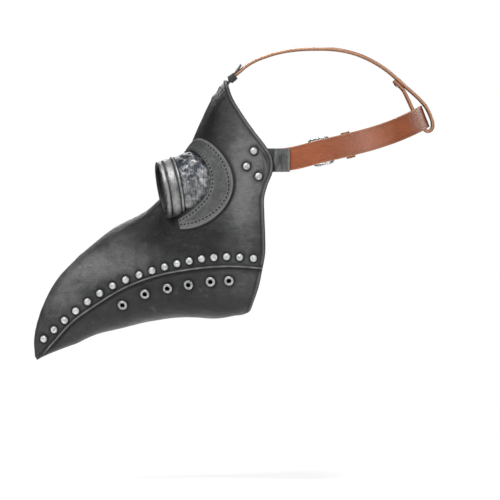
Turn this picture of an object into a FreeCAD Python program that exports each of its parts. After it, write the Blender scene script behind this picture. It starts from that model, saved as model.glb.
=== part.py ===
"""Plague doctor mask: moulded beak mask, goggle eyepieces and leather head harness.

Frame, millimetres: -Y is the way the beak points, +Z is up and +X is the wearer's left.
The origin lies midway between the two temple tabs, where the harness meets the mask.
"""
import FreeCAD, Part
import math
import os

Vector = FreeCAD.Vector

# Shell
WALL = 2.4
PARTING_GAP = 0.3
ROUNDNESS_TOP = 0.04
ROUNDNESS_CHIN = 0.10
NECK_CUT = 22.0
FLOW_START = 0.50

# Profile of the beak's ridge, from the tip over the brow to the forehead (y, z)
RIDGE = [(-235.0, -187.0), (-235.7, -174.0), (-233.0, -157.0), (-227.0, -139.0), (-212.0, -112.0),
         (-189.0, -87.5), (-159.1, -64.0), (-123.2, -43.7), (-110.0, -30.0), (-99.0, -10.0),
         (-84.4, 16.5), (-72.8, 41.7), (-61.1, 65.0), (-49.5, 80.3)]
# Profile of the beak's underside, from the tip to the throat (y, z)
KEEL = [(-232.8, -191.1), (-223.0, -186.2), (-211.5, -181.4), (-196.9, -175.6), (-175.6, -165.9),
        (-148.4, -159.1), (-123.2, -154.2), (-101.9, -150.9), (-76.6, -150.3), (-49.5, -150.6),
        (-27.2, -147.4)]
# Half-width against the fraction of the way from the tip to the rear edge
HALF_WIDTH = [(0.0, 3.0), (0.04, 7.5), (0.10, 12.5), (0.20, 19.5), (0.35, 29.0), (0.54, 43.0),
              (0.65, 53.0), (0.77, 63.2), (0.90, 69.0), (1.0, 71.5)]
BROW_SWEEP = 8.0
BRIDGE_PINCH = 0.46
BRIDGE_AT = 0.60
BRIDGE_REACH = 0.15
# Side profile of the rear edge, from the chin corner over the temple lobe to the forehead (z, y)
REAR_EDGE = [(-147.4, -27.2), (-134.8, -23.3), (-118.3, -17.9), (-101.9, -14.5), (-86.3, -11.8),
             (-69.8, -11.8), (-48.5, -12.6), (-32.0, -12.6), (-21.3, -9.7), (-6.8, -4.4),
             (5.8, -5.2), (16.5, -11.6), (29.1, -21.3), (45.6, -33.0), (65.0, -44.6), (80.3, -49.5)]
# Side profile of the mouth line, from the notch under the tip to the rear edge (y, z)
MOUTH = [(-229.0, -188.2), (-216.3, -174.0), (-199.8, -156.0), (-174.6, -137.3), (-146.5, -120.5),
         (-119.3, -109.8), (-87.3, -102.8), (-49.5, -99.2), (-5.0, -101.5)]
NOTCH = 0.035

# Mouth rivets and vent eyelets
RIVET_LINE = [(-225.6, -170.2), (-195.5, -143.7), (-159.6, -118.8), (-119.4, -103.1), (-71.1, -91.5),
              (-47.7, -89.4), (-22.9, -90.9)]
RIVET_COUNT = 18
RIVET_BUNCHING = 0.0163
RIVET_R = 3.6
RIVET_RISE = 2.3
RIVET_SHANK_R = 1.2
EYELETS = [(-148.7, -136.7), (-127.0, -125.9), (-105.2, -120.2), (-85.0, -116.7), (-63.9, -113.5),
           (-46.2, -112.5)]
EYELET_R = 4.7
EYELET_HOLE_R = 2.0
EYELET_BARREL_R = 2.8
EYELET_RISE = 1.3
WASHER_T = 0.8
BURR_R = 3.0
BACKING_T = 1.2
BACKING_ABOVE = 15.0
BACKING_BELOW = 22.0
WELT_W = 4.0
WELT_RISE = 1.3
FIT = 0.1

# Eyepieces; the axis runs from the middle of the mouth back into the mask
MOUTH_CENTRE = Vector(36.4, -111.4, -26.3)
EYE_AXIS = Vector(-0.155, 0.970, 0.185)
RING_LENGTH = 16.5
RING_FRONT_R = 27.4
RING_REAR_R = 29.8
LIP_R = 23.4
LIP_LENGTH = 2.5
LENS_R = 25.6
LENS_T = 2.0
GASKET_T = 1.6
TUBE_BORE_R = 23.6
TUBE_NECK_R = 26.0
TUBE_WAIST_R = 28.6
TUBE_BASE_R = 33.0
TUBE_LENGTH = 62.0
FLANGE_CENTRE = Vector(35.9, -72.8, -20.5)
FLANGE_AXIS = Vector(0.689, -0.725, 0.0)
FLANGE_R = 43.6
FLANGE_T = 1.6
CAVITY_DEPTH = 34.0
FLANGE_FRONT = 15.5
TUBE_FIT = 0.1
TUBE_SHOULDER = 8.0
TUBE_BELLY = 12.0

# Harness
STRAP_W = 22.0
STRAP_T = 2.2
STRAP_FIT = 0.4
HEAD_CENTRE = Vector(0.0, 50.0, 5.0)
HEAD_RADII = Vector(77.0, 100.0, 105.0)
TEMPLE_RIVETS = [(-22.5, 11.3), (-29.4, -3.3), (-18.0, -12.9)]
TEMPLE_LEAN = 0.16
TAB_T = 1.1
TAB_Y = (-3.6, -1.4, 11.6)
TAB_Z = (-8.7, 13.7)
TONGUE_IN = 4.2
TONGUE_START = -38.0
TONGUE_Z = (-17.0, 16.0)
TONGUE_TAPER = (-21.0, -8.0)
# Middle line of the back strap on the left side, from the temple to the back of the head
BACK_LINE = [(71.9, 1.6, 2.4), (73.9, 13.3, 4.0), (76.8, 40.0, 10.6), (75.6, 66.3, 16.8),
             (69.0, 91.2, 23.4), (57.0, 112.3, 30.6), (41.0, 128.7, 37.6), (21.0, 139.4, 43.0),
             (0.0, 142.9, 45.2)]
# Middle line of the top strap: forehead, crown, down outside the back strap, round and back up
TOP_LINE = [(-45.5, 80.5), (-39.1, 85.5), (-25.6, 96.1), (-10.4, 102.8), (13.4, 108.5), (37.8, 109.9),
            (61.9, 108.5), (85.8, 101.3), (106.0, 89.3), (114.9, 81.8), (123.9, 73.8), (132.4, 66.4),
            (139.2, 59.8), (144.0, 54.0), (148.2, 45.6), (150.3, 38.4), (149.9, 34.1), (148.0, 31.7),
            (145.2, 31.4), (142.9, 33.4), (139.7, 37.6), (136.3, 42.3), (131.4, 52.6), (127.0, 62.2),
            (121.9, 71.6), (117.9, 75.8), (112.9, 80.0)]
LOOP_RIVET_AT = (118.6, 78.6)
LOOP_RIVET_OUT = (0.664, 0.748)
LOOP_RIVET_R = 3.4
LOOP_SHANK_R = 1.5

# Forehead keeper; e runs up the strap, n stands out from the head
KEEPER_AT = (-43.5, 82.0)
KEEPER_ALONG = (0.786, 0.618)
KEEPER_HALF_W = 12.0
KEEPER_T = 1.1
KEEPER_FIT = 0.45
TONGUE_FIT = 0.7
KEEPER_LEAF_START = -2.7
BRIDGE_LOW = -3.6
BRIDGE_HIGH = -1.1

# Pin buckle on the right side; t runs towards the temple from the heel bar
HEEL_FROM_TEMPLE = 54.0
WIRE_R = 1.3
FRAME_REACH = 20.0
FRAME_HALF_W = 13.0
FRAME_FRONT_RISE = 2.8
FOLD_T = 1.8
FOLD_END = 12.0
TAIL_OVER = 42.0
TAIL_RISE = 5.0
PRONG_R = 1.0
PRONG_FIT = 0.15
PRONG_SLOT_HALF_W = 1.7
FOLD_FIT = 0.3
STRAP_HOLE_R = 1.6
STRAP_HOLES = 3
FIRST_HOLE_AT = 12.0
SLOT_DEPTH = 16.0
HOLE_PITCH = 9.0
KEEPER_BAND_W = 8.0
KEEPER_BAND_T = 1.4
KEEPER_BAND_FIT = 0.9
TAIL_STEP = 2.7


class Curve:
    """Smooth curve through hand-placed points, each at its own knot."""

    def __init__(self, knots, points):
        self.knots = list(knots)
        self.points = [tuple(p) for p in points]
        self.slopes = [self.slope(i) for i in range(len(self.knots))]

    @classmethod
    def along(cls, points):
        """Curve whose parameter is the fraction of the distance from point to point."""
        runs = [math.dist(a, b) for a, b in zip(points, points[1:])]
        total = sum(runs)
        knots = [sum(runs[:i]) / total for i in range(len(points))]
        return cls(knots, points)

    @classmethod
    def of(cls, pairs):
        """Curve of the second number of each pair against the first."""
        return cls([a for a, b in pairs], [(b,) for a, b in pairs])

    def secant(self, i):
        run = self.knots[i + 1] - self.knots[i]
        return [(b - a) / run for a, b in zip(self.points[i], self.points[i + 1])]

    def slope(self, i):
        last = len(self.knots) - 1
        if i == 0:
            return self.secant(0)
        if i == last:
            return self.secant(last - 1)
        before = self.knots[i] - self.knots[i - 1]
        after = self.knots[i + 1] - self.knots[i]
        pairs = zip(self.secant(i - 1), self.secant(i))
        return [(a * after + b * before) / (before + after) for a, b in pairs]

    def at(self, x):
        i = 0
        while i < len(self.knots) - 2 and x > self.knots[i + 1]:
            i += 1
        run = self.knots[i + 1] - self.knots[i]
        t = (x - self.knots[i]) / run
        h01 = t * t * (3 - 2 * t)
        h10 = t * (1 - t) * (1 - t)
        h11 = t * t * (t - 1)
        rows = zip(self.points[i], self.points[i + 1], self.slopes[i], self.slopes[i + 1])
        return tuple(a + h01 * (b - a) + run * (h10 * m + h11 * n) for a, b, m, n in rows)


ridge = Curve.along(RIDGE)
keel = Curve.along(KEEL)
half_width = Curve.of(HALF_WIDTH)
rear_edge = Curve.of(REAR_EDGE)
mouth = Curve.of(MOUTH)


def ease(x):
    """Smooth step from 0 to 1."""
    x = min(max(x, 0.0), 1.0)
    return x * x * (3 - 2 * x)


def rear_flow(u, z, angle):
    """How far a point is carried back so that the last section follows the rear edge."""
    chord = keel.at(1)[0] + (z - keel.at(1)[1]) * (ridge.at(1)[0] - keel.at(1)[0]) / (
        ridge.at(1)[1] - keel.at(1)[1])
    shift = rear_edge.at(z)[0] - chord
    under_chin = abs(math.remainder(angle, 2 * math.pi))
    shift -= NECK_CUT * (1 - ease(under_chin / 0.6))
    return shift * max(0.0, (u - FLOW_START) / (1 - FLOW_START)) ** 2


def surface(u, angle):
    """Outer surface: u runs from the tip to the rear edge, angle from the keel over the left side."""
    round_chin = ROUNDNESS_TOP + (ROUNDNESS_CHIN - ROUNDNESS_TOP) * ease((u - 0.45) / 0.5)
    a = ROUNDNESS_TOP + (round_chin - ROUNDNESS_TOP) * (1 + math.cos(angle)) / 2
    side = (math.sin(angle) + a * math.sin(3 * angle)) / (1 - a)
    height = (1 - (math.cos(angle) - a * math.cos(3 * angle)) / (1 - a)) / 2
    low = keel.at(u)
    high = ridge.at(u)
    y = low[0] + height * (high[0] - low[0])
    z = low[1] + height * (high[1] - low[1])
    z_edge = keel.at(1)[1] + height * (ridge.at(1)[1] - keel.at(1)[1])
    brow = math.sin(math.pi * min(max((u - 0.60) / 0.40, 0.0), 1.0)) ** 2
    y += BROW_SWEEP * brow * side * side
    near_bridge = 1 - ease(abs(u - BRIDGE_AT) / BRIDGE_REACH)
    pinch = 1 - BRIDGE_PINCH * near_bridge * ease((-math.cos(angle) - 0.15) / 0.6)
    return Vector(half_width.at(u)[0] * side * pinch, y + rear_flow(u, z_edge, angle), z)


def normal(u, angle):
    """Outward unit normal of the outer surface."""
    du = 0.002
    da = 0.01
    u0 = min(u, 1 - du)
    along = surface(u0 + du, angle) - surface(u0, angle)
    around = surface(u, angle + da) - surface(u, angle - da)
    return along.cross(around).normalize()


def offset(u, angle, rise):
    """Point at a height above the outer surface, or below it when rise is negative."""
    return surface(u, angle) + normal(u, angle) * rise


def wall(u):
    """Shell thickness, thinner in the narrow tip."""
    return min(WALL, 0.30 * half_width.at(u)[0])


def locate(y, z):
    """The (u, angle) of the left-hand surface point seen at (y, z) from the side."""
    best = None
    for i in range(2, 41):
        for j in range(1, 40):
            u = i / 40
            angle = math.pi * j / 40
            p = surface(u, angle)
            miss = math.hypot(p.y - y, p.z - z)
            if best is None or miss < best[0]:
                best = (miss, u, angle)
    u, angle = best[1:]
    for _ in range(12):
        p = surface(u, angle)
        pu = (surface(u + 1e-4, angle) - p) * 1e4
        pa = (surface(u, angle + 1e-4) - p) * 1e4
        det = pu.y * pa.z - pu.z * pa.y
        ey = y - p.y
        ez = z - p.z
        u += (ey * pa.z - ez * pa.y) / det
        angle += (pu.y * ez - pu.z * ey) / det
    return u, angle


def mouth_angle(u):
    """Angle at which section u crosses the mouth line on the left side."""
    low, high = 0.0, 2.4
    for _ in range(40):
        middle = (low + high) / 2
        p = surface(u, middle)
        if p.z < mouth.at(p.y)[0]:
            low = middle
        else:
            high = middle
    return low


def arc_rate(u, angle):
    """Millimetres of surface for each radian round the section."""
    return (surface(u, angle + 0.01) - surface(u, angle - 0.01)).Length / 0.02


def skin(rows):
    """Smooth face through a grid of points."""
    sheet = Part.BSplineSurface()
    sheet.interpolate(rows)
    return sheet


def slab(outer, inner):
    """Solid between two grids of points, closed round its four edges."""
    top = skin(outer)
    bottom = skin(inner)
    faces = [top.toShape(), bottom.toShape()]
    u0, u1, v0, v1 = top.bounds()
    s0, s1, t0, t1 = bottom.bounds()
    pairs = [(top.uIso(u0), bottom.uIso(s0)), (top.uIso(u1), bottom.uIso(s1)),
             (top.vIso(v0), bottom.vIso(t0)), (top.vIso(v1), bottom.vIso(t1))]
    for a, b in pairs:
        faces.append(Part.makeRuledSurface(a.toShape(), b.toShape()))
    shell = Part.makeShell(faces)
    shell.sewShape()
    solid = Part.makeSolid(shell)
    if solid.Volume < 0:
        solid.reverse()
    return solid


def steps(first, last, count):
    return [first + (last - first) * i / (count - 1) for i in range(count)]


def mirrored(shape):
    return shape.mirror(Vector(0, 0, 0), Vector(1, 0, 0))


def shell_slab(u_values, angles_of, outer_rise, inner_rise):
    """Curved slab over a patch of the surface; the rises may depend on u."""
    outer = []
    inner = []
    for u in u_values:
        angles = angles_of(u)
        outer.append([offset(u, a, outer_rise(u)) for a in angles])
        inner.append([offset(u, a, inner_rise(u)) for a in angles])
    return slab(outer, inner)


def u_stations(first, last, count):
    """Stations along the beak, closer together near the tip."""
    return [first + (last - first) * (i / (count - 1)) ** 1.4 for i in range(count)]


def make_upper_shell():
    def angles(u):
        start = max(mouth_angle(u) + PARTING_GAP / arc_rate(u, mouth_angle(u)), 0.12)
        return steps(start, 2 * math.pi - start, 45)
    return shell_slab(u_stations(0.0, 1.0, 40), angles, lambda u: 0.0, lambda u: -wall(u))


def make_lower_shell():
    def angles(u):
        end = mouth_angle(u)
        return steps(-end, end, 31)
    return shell_slab(u_stations(NOTCH, 1.0, 34), angles, lambda u: 0.0, lambda u: -wall(u))


def frame_at(u, angle):
    """Placement at a surface point with +Z along the outward normal."""
    turn = FreeCAD.Rotation(Vector(0, 0, 1), normal(u, angle))
    return FreeCAD.Placement(surface(u, angle), turn)


def placed(shape, spot):
    """Copy of a shape moved to a surface spot given as (u, angle)."""
    copy = shape.copy()
    copy.Placement = frame_at(*spot)
    return copy


def revolved(outline):
    """Solid of revolution about +Z from (radius, height) corners."""
    points = [Vector(r, 0, h) for r, h in outline]
    face = Part.Face(Part.makePolygon(points + points[:1]))
    return face.revolve(Vector(0, 0, 0), Vector(0, 0, 1), 360)


def rod(radius, low, high):
    return Part.makeCylinder(radius, high - low, Vector(0, 0, low))


def rivet_spots():
    """Where the mouth rivets of the left side stand."""
    line = Curve.along(RIVET_LINE)
    spots = []
    for i in range(RIVET_COUNT):
        f = i / (RIVET_COUNT - 1)
        f += RIVET_BUNCHING * (1 - math.cos(2 * math.pi * f))
        spots.append(locate(*line.at(f)))
    return spots


def dome(radius, rise):
    """Spherical cap with a flat underside at height 0."""
    ball = (radius * radius + rise * rise) / (2 * rise)
    sphere = Part.makeSphere(ball, Vector(0, 0, rise - ball))
    return sphere.common(rod(radius + 1, 0, rise + 1))


def rivet(length):
    """Domed head with its shank going in by length."""
    return dome(RIVET_R, RIVET_RISE).translated(Vector(0, 0, FIT)).fuse(
        rod(RIVET_SHANK_R, -length, 1.0)).removeSplitter()


def washer(outer, inner, low, high):
    return rod(outer, low, high).cut(rod(inner, low - 1, high + 1))


def eyelet(length):
    """Grommet: rounded rim with a barrel going in by length."""
    rim = revolved([(EYELET_HOLE_R, FIT), (EYELET_R, FIT), (EYELET_R, 0.6), (EYELET_R - 0.8, EYELET_RISE),
                    (EYELET_HOLE_R + 0.7, EYELET_RISE), (EYELET_HOLE_R, 0.8)])
    barrel = washer(EYELET_BARREL_R, EYELET_HOLE_R, -length, FIT)
    return rim.fuse(barrel).removeSplitter()


def temple_spots():
    return [locate(y, z) for y, z in TEMPLE_RIVETS]


def make_backing():
    """Strip behind the mouth line that the rivets and eyelets clamp."""
    def angles(u):
        middle = mouth_angle(u)
        rate = arc_rate(u, middle)
        return steps(middle - BACKING_BELOW / rate, middle + BACKING_ABOVE / rate, 9)
    return shell_slab(steps(0.10, 0.985, 30), angles, lambda u: -wall(u) - 0.1,
                      lambda u: -wall(u) - 0.1 - BACKING_T)


def make_welt():
    """Raised piping that covers the joint along the mouth line."""
    def angles(u):
        middle = mouth_angle(u)
        rate = arc_rate(u, middle)
        half = WELT_W / 2 if u > 0.08 else WELT_W / 4
        return steps(middle - half / rate, middle + half / rate, 5)
    return shell_slab(steps(0.05, 0.998, 36), angles, lambda u: WELT_RISE, lambda u: 0.05)


def eye_placement():
    return FreeCAD.Placement(MOUTH_CENTRE, FreeCAD.Rotation(Vector(0, 0, 1), EYE_AXIS))


def eye_piece(outline):
    """Ring on the eyepiece axis; height 0 is the front of the lip, heights run inwards."""
    shape = revolved(outline)
    shape.Placement = eye_placement()
    return shape


def make_eye_ring():
    seat = LIP_LENGTH
    groove = 0.9
    front = [(LIP_R, 0.6), (LIP_R + 0.6, 0.0), (RING_FRONT_R - 0.8, 0.0), (RING_FRONT_R, 0.8)]
    side = []
    for at in (4.2, 13.2):
        radius = RING_FRONT_R + (RING_REAR_R - RING_FRONT_R) * at / RING_LENGTH
        side += [(radius, at), (radius - groove, at + groove), (radius, at + 2 * groove)]
    rear = [(RING_REAR_R, RING_LENGTH), (TUBE_NECK_R, RING_LENGTH), (TUBE_NECK_R, seat), (LIP_R, seat)]
    return eye_piece(front + side + rear)


def make_eye_lens():
    low = LIP_LENGTH + 0.05
    return eye_piece([(0, low), (LENS_R, low), (LENS_R, low + LENS_T), (0, low + LENS_T)])


def make_lens_gasket():
    low = LIP_LENGTH + LENS_T + 0.1
    return eye_piece([(LIP_R, low), (LENS_R, low), (LENS_R, low + GASKET_T), (LIP_R, low + GASKET_T)])


def tube_outline(bore):
    """Outside of the tube, waisted behind the ring and flared to the base."""
    neck = LIP_LENGTH + LENS_T + GASKET_T + 0.2
    return [(bore, neck), (TUBE_NECK_R - 0.05, neck), (TUBE_NECK_R - 0.05, RING_LENGTH + 0.05),
            (TUBE_WAIST_R, RING_LENGTH + 0.05), (TUBE_WAIST_R + 0.4, RING_LENGTH + 3.5),
            (TUBE_BASE_R - 1.6, RING_LENGTH + TUBE_SHOULDER), (TUBE_BASE_R, RING_LENGTH + TUBE_BELLY),
            (TUBE_BASE_R, TUBE_LENGTH), (bore, TUBE_LENGTH)]


def cavity_under_eye():
    """Space behind the shell round the eye, used to end the tube flush with the inner wall."""
    return shell_slab(steps(0.50, 0.985, 22), lambda u: steps(1.0, math.pi + 0.5, 22),
                      lambda u: -WALL, lambda u: -WALL - CAVITY_DEPTH)


def make_eye_tube():
    return eye_piece(tube_outline(TUBE_BORE_R)).cut(cavity_under_eye())


def eye_clearance():
    """Volume that the shell and the flange leave free for the eyepiece."""
    return eye_piece([(0, -PARTING_GAP), (RING_REAR_R + TUBE_FIT, -PARTING_GAP),
                      (RING_REAR_R + TUBE_FIT, RING_LENGTH),
                      (TUBE_WAIST_R + 0.4, RING_LENGTH), (TUBE_WAIST_R + 0.5, RING_LENGTH + 3.5),
                      (TUBE_BASE_R - 1.5, RING_LENGTH + TUBE_SHOULDER),
                      (TUBE_BASE_R + TUBE_FIT, RING_LENGTH + TUBE_BELLY),
                      (TUBE_BASE_R + TUBE_FIT, TUBE_LENGTH), (0, TUBE_LENGTH)])


def make_eye_flange(clearance):
    """Leather collar lying on the shell round the tube; it ends behind the ring."""
    def angles(u):
        return steps(1.15, math.pi - 0.03, 25)
    sheet = shell_slab(steps(0.52, 0.97, 25), angles, lambda u: 0.05 + FLANGE_T, lambda u: 0.05)
    cutter = Part.makeCylinder(FLANGE_R, 160, Vector(0, 0, -80))
    cutter.Placement = FreeCAD.Placement(FLANGE_CENTRE, FreeCAD.Rotation(Vector(0, 0, 1), FLANGE_AXIS))
    front = eye_piece([(0, -2 * FLANGE_R), (2 * FLANGE_R, -2 * FLANGE_R), (2 * FLANGE_R, FLANGE_FRONT),
                       (0, FLANGE_FRONT)])
    return biggest(sheet.common(cutter).cut([clearance, front]))


def biggest(shape):
    return max(shape.Solids, key=lambda solid: solid.Volume)


def strap_frame(line, f):
    """Middle point, width direction and outward normal of a strap lying on the head."""
    here = Vector(*line.at(f))
    step = 0.004
    ahead = Vector(*line.at(min(f + step, 1.0)))
    behind = Vector(*line.at(max(f - step, 0.0)))
    along = (ahead - behind).normalize()
    off = here - HEAD_CENTRE
    out = Vector(off.x / HEAD_RADII.x ** 2, off.y / HEAD_RADII.y ** 2, off.z / HEAD_RADII.z ** 2)
    across = out.cross(along).normalize()
    if across.z < 0:
        across = across * -1
    out = along.cross(across)
    if out.dot(off) < 0:
        out = out * -1
    return here, across, out.normalize()


def plate(outline, low, high):
    """Prism on an outline in the plane x = 0, from x = low to x = high."""
    points = [Vector(low, y, z) for y, z in outline]
    face = Part.Face(Part.makePolygon(points + points[:1]))
    return face.extrude(Vector(high - low, 0, 0))


def plan_prism(outline, low, high):
    """Prism on an outline in plan, from z = low to z = high."""
    points = [Vector(x, y, low) for x, y in outline]
    face = Part.Face(Part.makePolygon(points + points[:1]))
    return face.extrude(Vector(0, 0, high - low))


def temple_x(y):
    """Middle line of the strap in plan beside the temple."""
    return BACK_LINE[0][0] + TEMPLE_LEAN * y


def make_temple_tab():
    """Folded tab: an inner tongue under the lobe, then two leaves that hold the strap end."""
    gap = STRAP_T / 2 + STRAP_FIT
    leaf = gap + TAB_T
    y0, y1, y2 = TAB_Y
    block = plan_prism([(temple_x(y0) - TONGUE_IN, y0), (temple_x(y1) - TONGUE_IN, y1),
                        (temple_x(y1) + leaf, y1), (temple_x(y0) + leaf, y0)], *TAB_Z)
    outer = plan_prism([(temple_x(y1) + gap, y1), (temple_x(y2) + gap, y2),
                        (temple_x(y2) + leaf, y2), (temple_x(y1) + leaf, y1)], *TAB_Z)
    inner = plan_prism([(temple_x(y1) - leaf, y1), (temple_x(y2) - leaf, y2),
                        (temple_x(y2) - gap, y2), (temple_x(y1) - gap, y1)], *TAB_Z)
    tongue = temple_tongue()
    return tongue.fuse(block).fuse(outer).fuse(inner).removeSplitter()


def temple_tongue():
    """Part of the tab that lies flat under the temple lobe."""
    rows_out = []
    rows_in = []
    for y in steps(TONGUE_START, TAB_Y[1] - 0.2, 7):
        row_out = []
        row_in = []
        narrow = ease((y - TONGUE_TAPER[0]) / (TONGUE_TAPER[1] - TONGUE_TAPER[0]))
        low, high = [wide + (slim - wide) * narrow for wide, slim in zip(TONGUE_Z, TAB_Z)]
        for z in steps(low, high, 5):
            spot = locate(min(y, rear_edge.at(z)[0] - 0.4), z)
            under = offset(*spot, -WALL - 0.15)
            x = min(under.x, temple_x(y) + 1.0)
            row_out.append(Vector(x, y, z))
            row_in.append(Vector(x - TAB_T - 0.4, y, z))
        rows_out.append(row_out)
        rows_in.append(row_in)
    return slab(rows_out, rows_in)


def whole_back_line():
    """Middle line of the back strap from the left temple to the right one."""
    right = [(-x, y, z) for x, y, z in reversed(BACK_LINE[:-1])]
    return Curve.along(BACK_LINE + right)


def line_length(points):
    return sum(math.dist(a, b) for a, b in zip(points, points[1:]))


BACK_LENGTH = 2 * line_length(BACK_LINE)


def back_fraction(t):
    """Fraction along the back line of a place t in front of the heel bar."""
    return 1 - (HEEL_FROM_TEMPLE - t) / BACK_LENGTH


def uneven_band(line, first, last, count, width, heights):
    """Strap whose underside and top depend on the place along it."""
    outer = []
    inner = []
    for f in steps(first, last, count):
        here, across, out = strap_frame(line, f)
        low, high = heights(f)
        row = [across * (width * k) for k in (-0.5, -0.25, 0.0, 0.25, 0.5)]
        outer.append([here + v + out * high for v in row])
        inner.append([here + v + out * low for v in row])
    return slab(outer, inner)


def strap_placement(line, t):
    """Placement on the right side of the strap: X towards the temple, Y across, Z outwards."""
    here, across, out = strap_frame(line, back_fraction(t))
    along = across.cross(out)
    return FreeCAD.Placement(here, FreeCAD.Rotation(along, across, out, "ZXY"))


def at_heel(line, shape):
    copy = shape.copy()
    copy.Placement = strap_placement(line, 0).multiply(shape.Placement)
    return copy


def side_plate(outline, half_width):
    """Prism on a (t, n) outline across the strap, as a wire of straight edges."""
    points = [Vector(t, -half_width, n) for t, n in outline]
    face = Part.Face(Part.makePolygon(points + points[:1]))
    return face.extrude(Vector(0, 2 * half_width, 0))


def arc_points(radius, first, last, count):
    return [(radius * math.cos(math.radians(a)), radius * math.sin(math.radians(a)))
            for a in steps(first, last, count)]


def make_long_strap(line):
    """Left temple to the buckle, with its end folded round the heel bar."""
    raised = WIRE_R + FOLD_FIT + FOLD_T / 2
    heel = back_fraction(0)

    def heights(f):
        t = (f - heel) * BACK_LENGTH
        lift = ease((t + 12.0) / 10.0)
        half = STRAP_T / 2 + (FOLD_T - STRAP_T) / 2 * lift
        return raised * lift - half, raised * lift + half

    first = uneven_band(line, 0.0, back_fraction(-30), 60, STRAP_W, lambda f: (-STRAP_T / 2, STRAP_T / 2))
    second = uneven_band(line, back_fraction(-30), back_fraction(-1.0), 16, STRAP_W, heights)
    inside = WIRE_R + FOLD_FIT
    outside = inside + FOLD_T
    fold = [(-2.0, outside)] + arc_points(outside, 90, -90, 13)
    fold += [(-FOLD_END, -2.9), (-FOLD_END, -0.6), (-9.0, -0.6), (-5.0, -inside)]
    fold += arc_points(inside, -90, 90, 9) + [(-2.0, inside)]
    fold = at_heel(line, side_plate(fold, STRAP_W / 2))
    slot = Part.makeBox(9.5, 2 * PRONG_SLOT_HALF_W, 12, Vector(-5.0, -PRONG_SLOT_HALF_W, -6))
    return first.fuse(second).fuse(fold).cut(at_heel(line, slot))


def tail_height(t):
    """Middle of the short strap above the middle line: over the heel, then down on the long strap."""
    return TAIL_RISE * ease((17.5 - t) / 14.0) - (TAIL_RISE - TAIL_STEP) * ease((-3.0 - t) / 10.0)


def make_short_strap(line):
    """Right temple to the tail that lies over the buckle, with its prong holes."""
    heel = back_fraction(0)

    def heights(f):
        middle = tail_height((f - heel) * BACK_LENGTH)
        return middle - STRAP_T / 2, middle + STRAP_T / 2

    strap = uneven_band(line, back_fraction(-TAIL_OVER), 1.0, 46, STRAP_W, heights)
    slot = Part.makeBox(16.5, 2 * PRONG_SLOT_HALF_W, SLOT_DEPTH, Vector(-2.0, -PRONG_SLOT_HALF_W, -5))
    cuts = [at_heel(line, slot)]
    for i in range(STRAP_HOLES):
        hole = Part.makeCylinder(STRAP_HOLE_R, SLOT_DEPTH, Vector(-FIRST_HOLE_AT - HOLE_PITCH * i, 0, -1.5))
        cuts.append(at_heel(line, hole))
    return strap.cut(cuts)


def make_buckle_frame():
    """Rectangular wire frame; the heel bar lies on Y and the front bar rides over the strap."""
    tilt = math.hypot(FRAME_REACH, FRAME_FRONT_RISE)
    corner = 2.5
    path_points = [Vector(0, -FRAME_HALF_W, 0), Vector(tilt, -FRAME_HALF_W, 0),
                   Vector(tilt, FRAME_HALF_W, 0), Vector(0, FRAME_HALF_W, 0)]
    bars = []
    for a, b in zip(path_points, path_points[1:] + path_points[:1]):
        bars.append(Part.makeCylinder(WIRE_R, (b - a).Length, a, b - a))
    knuckles = [Part.makeSphere(WIRE_R, p) for p in path_points]
    frame = bars[0].fuse(bars[1:] + knuckles).removeSplitter()
    angle = math.degrees(math.asin(FRAME_FRONT_RISE / tilt))
    frame.rotate(Vector(0, 0, 0), Vector(0, 1, 0), -angle)
    return frame


def make_buckle_prong():
    """Pin with an eye round the heel bar and its tip resting on the front bar."""
    eye = Part.makeCylinder(WIRE_R + 1.15, 2.2, Vector(0, -1.1, 0), Vector(0, 1, 0)).cut(
        Part.makeCylinder(WIRE_R + PRONG_FIT, 4, Vector(0, -2, 0), Vector(0, 1, 0)))
    tip = Vector(FRAME_REACH + 1.6, 0, FRAME_FRONT_RISE + WIRE_R + PRONG_R + 2 * PRONG_FIT)
    root = Vector(0.4, 0, WIRE_R + PRONG_R - 0.2)
    pin = Part.makeCylinder(PRONG_R, (tip - root).Length, root, tip - root)
    pin = pin.cut(Part.makeCylinder(WIRE_R + PRONG_FIT, 4, Vector(0, -2, 0), Vector(0, 1, 0)))
    return eye.fuse([pin, Part.makeSphere(PRONG_R, tip)]).removeSplitter()


def make_strap_keeper(line):
    """Leather loop round the long strap and the tail."""
    low = -STRAP_T / 2 - KEEPER_BAND_FIT
    high = TAIL_STEP + STRAP_T / 2 + KEEPER_BAND_FIT
    half = STRAP_W / 2 + KEEPER_BAND_FIT
    wall = KEEPER_BAND_T
    start = -KEEPER_BAND_W / 2
    outer = Part.makeBox(KEEPER_BAND_W, 2 * (half + wall), high - low + 2 * wall,
                         Vector(start, -half - wall, low - wall))
    outer = outer.makeFillet(1.2, [e for e in outer.Edges if abs(e.BoundBox.XLength - KEEPER_BAND_W) < 0.01])
    hole = Part.makeBox(KEEPER_BAND_W + 2, 2 * half, high - low, Vector(start - 1, -half, low))
    loop = outer.cut(hole)
    loop.Placement = strap_placement(line, -FOLD_END - 1.2 - KEEPER_BAND_W / 2)
    return loop


def profile_edge(points):
    curve = Part.BSplineCurve()
    curve.interpolate(points)
    return curve.toShape()


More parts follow.
